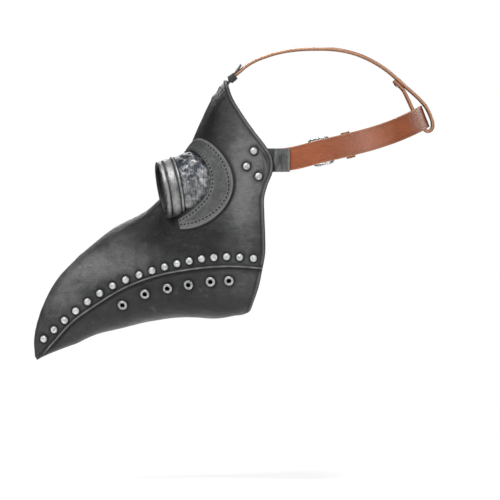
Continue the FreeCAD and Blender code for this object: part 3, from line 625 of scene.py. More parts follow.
class Paint:
    """Short way to write a procedural material."""

    def __init__(self, name, **sockets):
        self.material = bpy.data.materials.new(name)
        self.material.use_nodes = True
        self.tree = self.material.node_tree
        self.shader = self.tree.nodes["Principled BSDF"]
        self.place = self.tree.nodes.new("ShaderNodeTexCoord").outputs["Object"]
        for socket, value in sockets.items():
            self.shader.inputs[socket.replace("_", " ")].default_value = value

    def node(self, kind, **inputs):
        made = self.tree.nodes.new(kind)
        for name, value in inputs.items():
            self.feed(made.inputs[name], value)
        return made

    def feed(self, socket, value):
        if isinstance(value, bpy.types.NodeSocket):
            self.tree.links.new(value, socket)
        else:
            socket.default_value = value

    def stretched(self, scale):
        """Object coordinates stretched along X, Y and Z."""
        made = self.node("ShaderNodeMapping", Vector=self.place)
        made.inputs["Scale"].default_value = scale
        return made.outputs["Vector"]

    def noise(self, size, detail=4, rough=0.55, place=None, twist=0.0):
        """Random field whose features are about this many metres across."""
        made = self.node("ShaderNodeTexNoise", Vector=place or self.place)
        made.inputs["Scale"].default_value = 1 / size
        made.inputs["Detail"].default_value = detail
        made.inputs["Roughness"].default_value = rough
        made.inputs["Distortion"].default_value = twist
        return made.outputs["Fac"]

    def cracks(self, size, place=None):
        """Distance to the edges of random cells."""
        made = self.node("ShaderNodeTexVoronoi", Vector=place or self.place)
        made.feature = "DISTANCE_TO_EDGE"
        made.inputs["Scale"].default_value = 1 / size
        return made.outputs["Distance"]

    def level(self, value, low, high, to_low=0.0, to_high=1.0):
        """Maps low..high to another range and holds it there."""
        made = self.node("ShaderNodeMapRange", Value=value)
        made.inputs["From Min"].default_value = low
        made.inputs["From Max"].default_value = high
        made.inputs["To Min"].default_value = to_low
        made.inputs["To Max"].default_value = to_high
        return made.outputs["Result"]

    def sum(self, *parts):
        """Weighted sum of (value, weight) pairs."""
        total = None
        for value, weight in parts:
            made = self.node("ShaderNodeMath")
            made.operation = "MULTIPLY_ADD"
            self.feed(made.inputs[0], value)
            made.inputs[1].default_value = weight
            self.feed(made.inputs[2], 0.0 if total is None else total)
            total = made.outputs[0]
        return total

    def product(self, a, b):
        made = self.node("ShaderNodeMath")
        made.operation = "MULTIPLY"
        self.feed(made.inputs[0], a)
        self.feed(made.inputs[1], b)
        return made.outputs[0]

    def mask(self, name):
        """Values that the mesh carries under this name."""
        made = self.tree.nodes.new("ShaderNodeAttribute")
        made.attribute_name = name
        return made.outputs["Fac"]

    def ramp(self, value, *stops):
        """Colour for each value, from (position, colour) stops."""
        made = self.node("ShaderNodeValToRGB", Fac=value)
        band = made.color_ramp
        while len(band.elements) < len(stops):
            band.elements.new(0.5)
        for element, (position, colour) in zip(band.elements, stops):
            element.position = position
            element.color = (*colour, 1)
        return made.outputs["Color"]

    def mix(self, share, a, b, blend="MIX"):
        made = self.tree.nodes.new("ShaderNodeMix")
        made.data_type = "RGBA"
        made.blend_type = blend
        self.feed(made.inputs["Factor"], share)
        colours = [socket for socket in made.inputs if socket.type == "RGBA"]
        for socket, value in zip(colours, (a, b)):
            self.feed(socket, (*value, 1) if isinstance(value, tuple) else value)
        return [socket for socket in made.outputs if socket.type == "RGBA"][0]

    def bump(self, height, depth, strength=1.0):
        """Bump whose height field is worth this many metres."""
        made = self.node("ShaderNodeBump", Height=height)
        made.inputs["Distance"].default_value = depth
        made.inputs["Strength"].default_value = strength
        self.feed(self.shader.inputs["Normal"], made.outputs["Normal"])

    def done(self, colour, roughness=None):
        self.feed(self.shader.inputs["Base Color"], colour)
        if roughness is not None:
            self.feed(self.shader.inputs["Roughness"], roughness)
        return self.material


def grey(v, warm=0.0):
    """Neutral grey, warmed or cooled a little."""
    return (v * (1 + warm), v, v * (1 - warm))


def make_hide(name, dark, light, edge_light=0.19):
    """Moulded hide painted antique pewter: broad painted highlights and shade, rubbed wear and painted
    highlights on edges, dark antiquing and painted shade in hollows and gaps, fine grain.
    """
    paint = Paint(name, Metallic=0.35)
    paint.shader.inputs["Specular IOR Level"].default_value = 0.5
    broad = paint.noise(0.060, 3, 0.5)
    blotch = paint.noise(0.011, 5, 0.62, twist=0.6)
    speck = paint.noise(0.0016, 3, 0.7)
    streak = paint.noise(0.006, 4, 0.6, paint.stretched((1.0, 0.35, 1.6)), 0.4)
    # The last term adds broad painted highlights and painted shade to the tone.
    tone = paint.sum((broad, 0.24), (blotch, 0.30), (speck, 0.13), (streak, 0.13),
                     (paint.mask("painted_light_shade"), 0.42))
    colour = paint.ramp(tone, (0.46, grey(dark, -0.03)), (0.62, grey(0.30 * light, -0.015)),
                        (0.82, grey(light, 0.0)))
    # Rubbed wear and painted highlights, in the edge colour.
    colour = paint.mix(paint.mask("rub"), colour, grey(edge_light, -0.01))
    pits = paint.level(paint.noise(0.0030, 2, 0.5), 0.30, 0.24)
    colour = paint.mix(paint.product(pits, 0.5), colour, grey(0.018))
    # Dark antiquing and painted shade, from the mesh's mask.
    colour = paint.mix(paint.mask("wash"), colour, grey(0.010, -0.05))
    grain = paint.cracks(0.0013)
    creases = paint.noise(0.0052, 6, 0.62, paint.stretched((1.0, 0.8, 1.3)), 1.1)
    height = paint.sum((paint.level(grain, 0.0, 0.22), 0.20), (creases, 1.0), (speck, 0.22))
    paint.bump(height, 0.00075)
    rough = paint.sum((blotch, 0.20), (speck, 0.10), (paint.mask("wash"), 0.20))
    return paint.done(colour, paint.sum((rough, 1.0), (paint.mask("painted_light_shade"), -0.10), (1.0, 0.33)))


def make_lining():
    """Inside of the shell: matt black with a napped, uneven surface."""
    paint = Paint("shell_lining", Roughness=0.85, Sheen_Weight=0.2, Sheen_Roughness=0.5)
    nap = paint.noise(0.0009, 4, 0.7)
    patch = paint.noise(0.018, 4, 0.6)
    colour = paint.ramp(paint.sum((nap, 0.4), (patch, 0.6)), (0.35, grey(0.012)), (0.65, grey(0.034)))
    paint.bump(paint.sum((nap, 0.5), (paint.noise(0.004, 3), 1.0)), 0.0005)
    return paint.done(colour)


def make_dark_leather(name="dark_leather", dark=0.035, light=0.085):
    """Thin dark leather of the tabs and collars, creased, with rubbed wear and painted highlights, dark
    antiquing and painted shade from its masks.
    """
    paint = Paint(name, Coat_Weight=0.08, Coat_Roughness=0.4)
    blotch = paint.noise(0.007, 5, 0.6, twist=0.5)
    weave = paint.noise(0.0011, 3, 0.6)
    colour = paint.ramp(paint.sum((blotch, 0.6), (weave, 0.4)), (0.36, grey(dark, -0.03)),
                        (0.66, grey(light, -0.02)))
    colour = paint.mix(paint.mask("rub"), colour, grey(0.20))
    colour = paint.mix(paint.mask("wash"), colour, grey(0.010))
    height = paint.sum((paint.level(paint.cracks(0.0011), 0, 0.25), 0.3), (blotch, 0.7), (weave, 0.3))
    paint.bump(height, 0.0004)
    return paint.done(colour, paint.level(blotch, 0.3, 0.7, 0.62, 0.44))


def make_silver_paint(name, low, middle, high):
    """Rivets and eyelets: silver with brushed-on streaks, with painted shade round the rivets' rims and in
    and round the eyelets.
    """
    paint = Paint(name, Metallic=0.6)
    fleck = paint.noise(0.0007, 4, 0.7)
    blotch = paint.noise(0.0028, 3, 0.6)
    colour = paint.ramp(paint.sum((fleck, 0.5), (blotch, 0.5)), (0.36, grey(low, -0.02)),
                        (0.50, grey(middle, -0.015)), (0.64, grey(high, -0.01)))
    colour = paint.mix(paint.mask("wash"), colour, grey(0.02, -0.05))
    paint.bump(paint.sum((fleck, 0.5), (blotch, 1.0)), 0.00022)
    return paint.done(colour, paint.level(fleck, 0.3, 0.7, 0.30, 0.52))


def make_pewter(name, pitted, high):
    """Eyepiece metal: brushed silver over a dark, bluish patina."""
    paint = Paint(name, Metallic=0.65)
    blotch = paint.noise(0.0065, 5, 0.62, twist=0.8)
    fine = paint.noise(0.0011, 4, 0.7)
    streak = paint.noise(0.0042, 4, 0.55, paint.stretched((0.35, 3.2, 0.35)), 0.2)
    tone = paint.sum((blotch, 0.45), (streak, 0.35), (fine, 0.20), (paint.mask("rub"), 0.20))
    colour = paint.ramp(tone, (0.42, grey(0.055, -0.06)), (0.55, grey(0.5 * high, -0.02)),
                        (0.70, grey(high, 0.01)))
    if pitted:
        dark = paint.product(paint.mask("patina"), paint.level(blotch, 0.62, 0.44))
        colour = paint.mix(dark, colour, (0.030, 0.036, 0.048))
    # Patina and painted shade, from the mesh's mask.
    colour = paint.mix(paint.mask("wash"), colour, (0.012, 0.013, 0.016))
    paint.bump(paint.sum((blotch, 0.8), (fine, 0.4), (streak, 0.7)), 0.0004)
    rough = paint.sum((blotch, 0.22), (fine, 0.16), (paint.mask("wash"), 0.25), (1.0, 0.27))
    return paint.done(colour, rough)


def make_smoke_lens():
    """Smoked clear plastic with fingermarks."""
    paint = Paint("smoke_lens", IOR=1.5, Transmission_Weight=0.75, Coat_Weight=0.3, Coat_Roughness=0.03)
    smudge = paint.noise(0.014, 4, 0.6, twist=0.7)
    haze = paint.noise(0.0022, 3, 0.6)
    colour = paint.ramp(smudge, (0.3, (0.030, 0.030, 0.028)), (0.7, (0.060, 0.058, 0.052)))
    paint.bump(smudge, 0.00006)
    return paint.done(colour, paint.level(paint.sum((smudge, 0.6), (haze, 0.4)), 0.35, 0.75, 0.03, 0.16))


def make_rubber():
    """Black rubber with a fine dull grain."""
    paint = Paint("gasket_rubber", Roughness=0.6)
    fleck = paint.noise(0.0008, 4, 0.7)
    colour = paint.ramp(fleck, (0.3, grey(0.010)), (0.7, grey(0.028)))
    paint.bump(fleck, 0.0001)
    return paint.done(colour, paint.level(fleck, 0.3, 0.7, 0.5, 0.7))


def make_strap_leather():
    """Smooth brown strap leather; its cut edges and suede back are lighter."""
    paint = Paint("brown_strap", Coat_Weight=0.12, Coat_Roughness=0.30)
    cloud = paint.noise(0.030, 4, 0.6, twist=0.4)
    pore = paint.noise(0.0008, 3, 0.65)
    fibre = paint.noise(0.0035, 4, 0.6, paint.stretched((1, 0.4, 2.2)))
    tone = paint.sum((cloud, 0.55), (pore, 0.20), (fibre, 0.25))
    face = paint.ramp(tone, (0.36, (0.215, 0.058, 0.020)), (0.52, (0.290, 0.080, 0.030)),
                      (0.68, (0.350, 0.105, 0.043)))
    cut = paint.ramp(paint.noise(0.0012, 4, 0.7), (0.3, (0.40, 0.20, 0.10)), (0.7, (0.50, 0.28, 0.155)))
    suede = paint.ramp(paint.noise(0.0022, 5, 0.7), (0.3, (0.22, 0.085, 0.040)), (0.7, (0.36, 0.16, 0.08)))
    colour = paint.mix(paint.mask("suede"), face, suede)
    colour = paint.mix(paint.mask("cut"), colour, cut)
    colour = paint.mix(paint.mask("wash"), colour, (0.075, 0.020, 0.009))
    height = paint.sum((paint.level(paint.cracks(0.0010), 0, 0.3), 0.25), (pore, 0.35), (fibre, 0.5),
                       (paint.product(paint.mask("suede"), pore), 1.2))
    paint.bump(height, 0.00028)
    rough = paint.sum((cloud, 0.16), (pore, 0.10), (paint.mask("suede"), 0.30), (paint.mask("cut"), 0.2),
                      (1.0, 0.26))
    return paint.done(colour, rough)


def make_buckle_steel():
    """Bright drawn wire, tarnished in patches."""
    paint = Paint("buckle_steel", Metallic=1.0)
    fine = paint.noise(0.0009, 4, 0.7)
    tarnish = paint.noise(0.006, 4, 0.6)
    colour = paint.ramp(tarnish, (0.32, grey(0.30, -0.02)), (0.60, grey(0.62, -0.01)))
    paint.bump(fine, 0.00008)
    return paint.done(colour, paint.level(fine, 0.3, 0.7, 0.20, 0.36))


def make_thread(name, dark, light):
    """Waxed thread, darker between its twisted strands."""
    paint = Paint(name, Roughness=0.7)
    twist = paint.noise(0.0006, 3, 0.6)
    paint.bump(twist, 0.00015)
    return paint.done(paint.ramp(twist, (0.3, dark), (0.7, light)))


hide = make_hide("pewter_hide", 0.006, 0.125)
# A darker copy of the hide for the lower shell: painted shade on the beak's underside.
hide_lower_shaded = make_hide("pewter_hide_lower_shaded", 0.006, 0.080, 0.17)
lining = make_lining()
dark_leather = make_dark_leather()
collar_leather = make_dark_leather("collar_leather", 0.024, 0.085)
silver = make_silver_paint("silver_rivets", 0.26, 0.52, 0.78)
dull_silver = make_silver_paint("dull_eyelets", 0.14, 0.33, 0.56)
pewter_ring = make_pewter("pewter_ring", False, 0.30)
pewter_tube = make_pewter("pewter_tube", True, 0.56)
smoke_lens = make_smoke_lens()
rubber = make_rubber()
strap_brown = make_strap_leather()
steel = make_buckle_steel()
black_thread = make_thread("black_thread", grey(0.006), grey(0.022))
brown_thread = make_thread("brown_thread", (0.30, 0.17, 0.09), (0.48, 0.30, 0.17))


# ---------------------------------------------------------------- shells

def distance_to(points, spots):
    """Distance from each point to the nearest of some spots."""
    best = np.full(points.shape[:-1], 9.0)
    for spot in spots:
        best = np.minimum(best, np.linalg.norm(points - spot, axis=-1))
    return best


def both_sides(points):
    """Points on the left and their mirror images."""
    return np.concatenate([points, points * (-1, 1, 1)])


def from_rear(points):
    """Distance of each grid point from the rear edge, measured along its column."""
    steps = np.linalg.norm(np.diff(points, axis=0), axis=-1)
    return np.concatenate([np.cumsum(steps[::-1], axis=0)[::-1], np.zeros((1, points.shape[1]))])


RIVET_SPOTS = both_sides(surface(*RIVETS))
TEMPLE_SPOTS = both_sides(surface(*TEMPLES))
VENT_SPOTS = both_sides(surface(*VENTS))
HEM_W = 2.4 * MM
LOBE_LINES = mm((6.0, 9.0))
LOBE_Z = 3 * MM
LOBE_REACH = 22 * MM
COLLAR_CLEAR = FLANGE_R + 1.5 * MM


def from_eye(points):
    """Distance from the middle of the flange, on either side, in the flange's own plane."""
    folded = np.array(points)
    folded[..., 0] = np.abs(folded[..., 0])
    off = folded - FLANGE_CENTRE
    return np.linalg.norm(off - (off @ FLANGE_AXIS)[..., None] * FLANGE_AXIS, axis=-1)


# Middle (y, z), reach along y and z in mm, and how much painted highlight (+) or painted shade (-) each
# place gets
PAINTED_LIGHT_PLACES = [(-33, -22, 12, 44, 1.0), (-22, 8, 12, 14, 0.4), (-174, -99, 26, 13, 1.0),
               (-205, -128, 14, 16, 0.5), (-72, 38, 24, 26, -1.0), (-80, -72, 30, 14, -1.0),
               (-124, -60, 20, 12, -0.8), (-50, -142, 70, 12, -0.6), (-36, -118, 26, 12, 0.4),
               (-140, -118, 30, 8, -0.4)]


def painted_light_tone(points):
    """Painted highlights and painted shade: lighter on the cheek and the beak's side, darker on the brow,
    beside the eyepiece and low on the beak.
    """
    tone = np.zeros(points.shape[:-1])
    for y, z, wide, high, much in PAINTED_LIGHT_PLACES:
        off = np.hypot((points[..., 1] / MM - y) / wide, (points[..., 2] / MM - z) / high)
        tone += much * bell(off / 1.4)
    return np.clip(0.5 + 0.5 * tone, 0, 1)


def shell_relief(points, rear, seam):
    """Height, dark antiquing with painted shade, and rubbed light with painted highlights over the shell,
    from the distances to its features.
    """
    stretch = points * (1.0, 0.7, 1.2)
    rise = 0.75 * MM * layered(points, 0.045, 3, 2) + 0.22 * MM * layered(stretch, 0.011, 7, 3)
    rise -= 0.16 * MM * bell(cells(stretch, 0.009, 21) / 0.30)
    quiet = ease((from_eye(points) - COLLAR_CLEAR) / (4 * MM))
    near_seam = ease(seam / (6 * MM))
    rise = rise * quiet * (0.25 + 0.75 * near_seam)
    wash = np.zeros(rise.shape)
    rub = np.zeros(rise.shape)
    rivet = distance_to(points, np.concatenate([RIVET_SPOTS, TEMPLE_SPOTS]))
    vent = distance_to(points, VENT_SPOTS)
    for gap, radius in ((rivet, RIVET_R), (vent, EYELET_R)):
        rise -= 0.45 * MM * bell((gap - radius - 0.3 * MM) / (0.9 * MM))
        rise -= 0.35 * MM * bell(gap / (radius * 1.8))
        wash = np.maximum(wash, ease(1 - (gap - radius - 0.9 * MM) / (1.5 * MM)))
        wash = np.maximum(wash, 0.50 * bell((gap - radius) / (3.6 * MM)))
    # The hem: a painted highlight along its bead and a painted shade line in the groove inside it.
    hem = bell((rear - HEM_W / 2) / (HEM_W * 0.55))
    rise += 0.30 * MM * hem - 0.55 * MM * bell((rear - HEM_W - 1.4 * MM) / (0.9 * MM))
    rub = np.maximum(rub, 0.45 * hem)
    wash = np.maximum(wash, 0.80 * bell((rear - HEM_W - 1.4 * MM) / (1.0 * MM)))
    # Painted shade along the rear cut edge.
    wash = np.maximum(wash, 0.8 * bell(rear / (0.8 * MM)))
    side = np.abs(points[..., 0])
    # Lobe lines: painted shade in each groove and a painted highlight beside it.
    lobe = ease(1 - np.abs(points[..., 2] - LOBE_Z) / LOBE_REACH) * ease((side - 45 * MM) / (10 * MM))
    for place in LOBE_LINES:
        line = bell((rear - place) / (0.85 * MM)) * lobe
        rise -= 0.60 * MM * line
        wash = np.maximum(wash, line)
        rub = np.maximum(rub, 0.35 * bell((rear - place - 1.3 * MM) / (0.7 * MM)) * lobe)
    # Painted shadow on the hide round the collar's outer edge.
    collar = from_eye(points) - FLANGE_R
    shadow = bell(np.maximum(collar - 0.8 * MM, 0) / (1.5 * MM)) * (collar > -2 * MM)
    near_eye = ease((side - 4 * MM) / (6 * MM)) * (points[..., 2] > -90 * MM)
    wash = np.maximum(wash, 0.95 * shadow * near_eye)
    # Painted shade in the gap along the mouth line.
    wash = np.maximum(wash, 0.95 * bell((seam - 2.5 * MM) / (1.2 * MM)))
    rise -= 0.45 * MM * bell((seam - 2.9 * MM) / (1.3 * MM))
    drip = ease((field(points, 0.004, 40) - 0.25) / 0.5)
    wash = np.maximum(wash, 0.35 * drip * bell(seam / (9 * MM)))
    high = ease((layered(stretch, 0.007, 55, 3) - 0.75) / 0.5)
    rub = np.maximum(rub, 0.22 * high) * (1 - wash)
    return rise, wash, rub


BROW_BUMPS = mm([(-62.5, 64.0), (-56.5, 73.5), (-51.6, 79.6)])


def brow_bumps(points):
    """Three small folds that step the forehead's profile."""
    rise = np.zeros(points.shape[:-1])
    for y, z in BROW_BUMPS:
        off = np.hypot(points[..., 1] - y, points[..., 2] - z)
        rise += 1.1 * MM * bell(off / (2.4 * MM)) * bell(points[..., 0] / 0.022)
    return rise


def shell_piece(name, u, angle, seam, close_tip):
    """Shell over a grid, with its hem, grain and hollows in the mesh."""
    base = surface(u, angle)
    rear = from_rear(base)
    rise, wash, rub = shell_relief(base, rear, seam)
    if close_tip:
        rise = rise + brow_bumps(base)
    rise = rise * ease(u / 0.06)
    out = normal(u, angle)
    outer = base + out * rise[..., None]
    rim = edge_round(rear, 1.2 * MM)
    thick = wall(u)
    inner = base - out * (thick * (0.5 + 0.5 * rim))[..., None]
    outer = outer - out * (thick * 0.5 * (1 - rim))[..., None]
    made = slab(name, outer, inner)
    face_and_back(made, "wash", wash)
    face_and_back(made, "rub", rub)
    # Broad painted highlights and painted shade over the shell.
    face_and_back(made, "painted_light_shade", painted_light_tone(base))
    return made


def beak_rows(first, count):
    """Stations along the beak: finer near the tip and at the hem."""
    body = first + (0.985 - first) * np.linspace(0, 1, count) ** 1.25
    return np.concatenate([body, np.linspace(0.987, 1.0, 14)])


def seam_distance(u, angle, middle):
    """Distance across the surface from the mouth line."""
    fold = np.abs(np.remainder(angle + math.pi, TURN) - math.pi)
    return np.abs(fold - middle) * arc_rate(u, middle)


def make_upper_shell():
    u = beak_rows(0.0, 230)
    middle = mouth_angle(u)
    start = np.where(u < NOTCH, 0.02, middle + PARTING_GAP / arc_rate(u, middle))
    share = np.linspace(0, 1, 300)
    angle = start[:, None] + (TURN - 2 * start[:, None]) * share
    grid_u = down_rows(u, angle)
    seam = seam_distance(grid_u, angle, down_rows(middle, angle))
    made = shell_piece("beak_upper_shell", grid_u, angle, seam, True)
    cut_out(made, [eye_knife(1), eye_knife(-1)])
    return made


def make_lower_shell():
    u = beak_rows(NOTCH, 190)
    middle = mouth_angle(u)
    angle = middle[:, None] * np.linspace(-1, 1, 150)
    grid_u = down_rows(u, angle)
    seam = seam_distance(grid_u, angle, down_rows(middle, angle))
    made = shell_piece("beak_lower_shell", grid_u, angle, seam, False)
    u, a = VENTS
    holes = []
    for spot, out in zip(surface(u, a), normal(u, a)):
        for mirror in ((1, 1, 1), (-1, 1, 1)):
            outline = rod_outline(EYELET_BARREL_R, -8 * MM, 5 * MM, 0.1 * MM)
            holes.append(lathe("hole", outline, spot * mirror, out * mirror, 24))
    cut_out(made, [joined("holes", holes)])
    return made


def eye_knife(side):
    """Closed cutter that follows the ring and the tube of an eyepiece."""
    outline = mm([(0.01, -0.3), (27.6, -0.3), (28.9, 9.0), (29.9, 16.5), (29.0, 16.7), (29.2, 20.0),
                  (30.3, 24.5), (31.2, 28.5), (31.2, 62.0), (0.01, 62.0)])
    mirror = np.array((side, 1, 1))
    centre = MOUTH_CENTRE * mirror
    axis = EYE_AXIS * mirror

    def fuller_below(points, spoke):
        depth = (points - centre) @ unit(axis)
        below = ease((0.1 - spoke @ Z) / 0.9) * ease((depth - 18 * MM) / (7 * MM))
        off = np.linalg.norm(points - centre - depth[..., None] * unit(axis), axis=-1)
        return points + spoke * (2.4 * MM * below * (off > 20 * MM))[..., None]

    return lathe("knife", outline, centre, axis, 128, fuller_below)


def build_shells():
    """Outside faces take the hide, inside faces the lining, by which way they look."""
    upper = make_upper_shell()
    lower = make_lower_shell()
    for made, outside in ((upper, hide), (lower, hide_lower_shaded)):
        made.data.materials.clear()
        made.data.materials.append(outside)
        made.data.materials.append(lining)
        faces = made.data.polygons
        inside = np.zeros(len(faces), np.int32)
        centres = np.zeros((len(faces), 3), np.float32)
        normals = np.zeros((len(faces), 3), np.float32)
        faces.foreach_get("center", centres.ravel())
        faces.foreach_get("normal", normals.ravel())
        heart = np.stack([0 * centres[:, 0], centres[:, 1], spine_height(centres[:, 1])], -1)
        inside[np.einsum("ij,ij->i", normals, centres - heart) < 0] = 1
        faces.foreach_set("material_index", inside)
    finished(upper, "mask", ["upper_shell"], "mask_leather")
    finished(lower, "mask", ["lower_shell"], "mask_leather")


SPINE = mm([(-240, -182), (-220, -160), (-190, -128), (-150, -105), (-110, -80), (-60, -50), (0, -30)])


def spine_height(y):
    """Height of a line that stays inside the shell, for each place along the beak."""
    return np.interp(y, SPINE[:, 0], SPINE[:, 1])


# ---------------------------------------------------------------- mouth line

WELT_W = 4.0 * MM
# Place across the welt from the upper shell down (half widths) and height in mm: lip, channel, bead
WELT_PROFILE = [(-1.0, -0.25), (-0.95, 0.22), (-0.78, 0.34), (-0.62, 0.10), (-0.46, -0.12), (-0.30, 0.16),
                (-0.14, 0.62), (0.04, 0.98), (0.22, 1.12), (0.42, 1.02), (0.62, 0.72), (0.80, 0.36),
                (0.94, 0.08), (1.0, -0.25)]


def build_welt():
    """Raised piping on the mouth line, with painted shade in the channel under it and a painted highlight
    along its crest.
    """
    u = np.linspace(0.048, 0.999, 420)
    middle = mouth_angle(u)
    rate = arc_rate(u, middle)
    profile = np.array(WELT_PROFILE)
    fine = np.linspace(0, len(profile) - 1, 40)
    across = np.interp(fine, np.arange(len(profile)), profile[:, 0])
    height = np.interp(fine, np.arange(len(profile)), profile[:, 1]) * MM
    taper = ease((u - 0.04) / 0.05)
    angle = middle[:, None] + across * (WELT_W / 2 * (0.45 + 0.55 * taper) / rate)[:, None]
    grid_u = down_rows(u, angle)
    base = surface(grid_u, angle)
    out = normal(grid_u, angle)
    wobble = 1 + 0.22 * layered(base, 0.009, 61, 2)
    rise = height * wobble * (0.35 + 0.65 * taper)[:, None]
    outer = base + out * rise[..., None]
    inner = base - out * (0.6 * MM)
    made = slab("seam_welt_left", outer, inner, smooth=70)
    # Painted shade in the channel under the bead, painted highlight along its crest.
    channel = bell((across + 0.62) / 0.36)
    crest = bell((across - 0.25) / 0.40)
    wash = np.clip(np.broadcast_to(channel, angle.shape) + 0.25 * field(base, 0.003, 9) * channel, 0, 1)
    rub = np.clip(np.broadcast_to(crest, angle.shape) * (0.75 + 0.35 * field(base, 0.006, 4)), 0, 1)
    face_and_back(made, "wash", wash)
    face_and_back(made, "rub", rub)
    finished_pair(made, "seam_welt", "seam_welt", "mask_leather", hide)


# ---------------------------------------------------------------- rivets and eyelets

def wrought(seed, depth, size, centre):
    """Dents that make a turned piece look hand painted and worn."""
    def dents(points, _):
        off = unit(points - centre)
        swell = depth * layered(points, size, seed, 2)
        return points + off * swell[..., None]
    return dents


def rivet_outline(radius, rise):
    """Low dome with a rolled rim and a skirt let into the hide."""
    arc = np.linspace(0.02, math.pi / 2, 9)
    dome = [(radius * 0.97 * math.sin(t), rise * (0.16 + 0.84 * math.cos(t))) for t in arc]
    return dome + [(radius, 0.10 * rise), (radius * 0.98, -0.9 * MM), (radius * 0.02, -0.9 * MM)]


SHANK = mm([(0.01, -0.5), (1.2, -0.5), (1.2, -5.6), (1.9, -5.8), (1.7, -6.3), (0.01, -6.4)])


def build_rivets(name, spots, radius, rise, nodes):
    """A row of domed rivets on each side, no two quite alike, with shanks through the hide."""
    u, a = spots
    heads = []
    for i, (spot, out) in enumerate(zip(surface(u, a), normal(u, a))):
        size = radius * (1 + 0.05 * math.sin(3.7 * i + radius * 9000))
        outline = rivet_outline(size, rise * (1 + 0.08 * math.cos(5.1 * i)))
        heads.append(lathe("head", outline, spot, out, 32, wrought(80 + i, 0.14 * MM, 1.7 * MM, spot)))
        heads.append(lathe("shank", SHANK, spot, out, 20))
    made = joined(name + "_left", heads)
    points = mesh_points(made)
    depth = np.min(np.linalg.norm(points[:, None] - surface(u, a)[None], axis=-1), axis=1)
    # Painted shade round the rim and skirt of each head, where it meets the hide.
    rim = ease((depth - radius * 0.86) / (radius * 0.20))
    attribute(made, "wash", rim * 0.9)
    finished_pair(made, name, nodes, "rivet_metal", silver)


def build_eyelets():
    """Rolled grommets with a barrel through the hide."""
    u, a = VENTS
    corners = [(0.02, -5.3), (EYELET_HOLE_R / MM, -5.3), (EYELET_HOLE_R / MM, 0.8), (2.7, 1.5), (3.9, 1.4),
               (EYELET_R / MM, 0.5), (EYELET_R / MM, -0.5), (EYELET_BARREL_R / MM, -0.6),
               (EYELET_BARREL_R / MM, -6.0), (0.02, -6.0)]
    outline = filleted(mm(corners), 0.7 * MM, 3)
    rims = []
    for i, (spot, out) in enumerate(zip(surface(u, a), normal(u, a))):
        rims.append(lathe("rim", outline, spot, out, 48, wrought(140 + i, 0.13 * MM, 1.6 * MM, spot)))
    made = joined("vent_rims_left", rims)
    points = mesh_points(made)
    # Painted shade down each bore and round the outer edge of each rim, where it meets the hide.
    wash = np.zeros(len(points))
    for spot, out in zip(surface(u, a), normal(u, a)):
        off = points - spot
        high = off @ out
        wide = np.linalg.norm(off - high[:, None] * out, axis=1)
        near = np.linalg.norm(off, axis=1) < 9 * MM
        bore = near * np.maximum(ease((EYELET_HOLE_R + 0.45 * MM - wide) / (0.35 * MM)),
                                 ease((wide - EYELET_R + 0.3 * MM) / (0.3 * MM)))
        wash = np.maximum(wash, bore)
    attribute(made, "wash", wash)
    finished_pair(made, "vent_rims", "vent_eyelets", "rivet_metal", dull_silver)


# ---------------------------------------------------------------- eyepieces

EYE_OUT = -unit(EYE_AXIS)
EYE_E1, EYE_E2, _ = axes_about(EYE_OUT)
FLANGE_E1, FLANGE_E2, FLANGE_OUT = axes_about(FLANGE_AXIS)
AROUND = 240


def circle(radius, count=AROUND):
    """Points evenly round a circle; the radius may differ from point to point."""
    angle = np.arange(count) / count * TURN
    return np.asarray(radius)[..., None] * np.stack([np.cos(angle), np.sin(angle)], -1)


def foot_radius(inset):
    """Radius of the tube's foot round its axis: fuller below than beside."""
    turn = circle(1.0)
    below = ease((0.1 - (turn @ np.stack([EYE_E1, EYE_E2])) @ Z) / 0.9)
    return TUBE_BASE_R - inset + 2.6 * MM * below


def eye_base(radius):
    """(u, angle) where a tube of this radius about the eye's axis meets the shell."""
    return hit(MOUTH_CENTRE, EYE_E1, EYE_E2, EYE_OUT, circle(radius))


def behind_ring(u, a):
    """The part of a closed line on the shell that lies behind the ring, evenly resampled."""
    depth = (surface(u, a) - MOUTH_CENTRE) @ -EYE_OUT
    order = (np.arange(AROUND) + int(np.argmin(depth))) % AROUND
    order = order[depth[order] > COLLAR_DEPTH]
    share = np.linspace(0, 1, AROUND)
    known = np.linspace(0, 1, len(order))
    return np.interp(share, known, u[order]), np.interp(share, known, a[order])


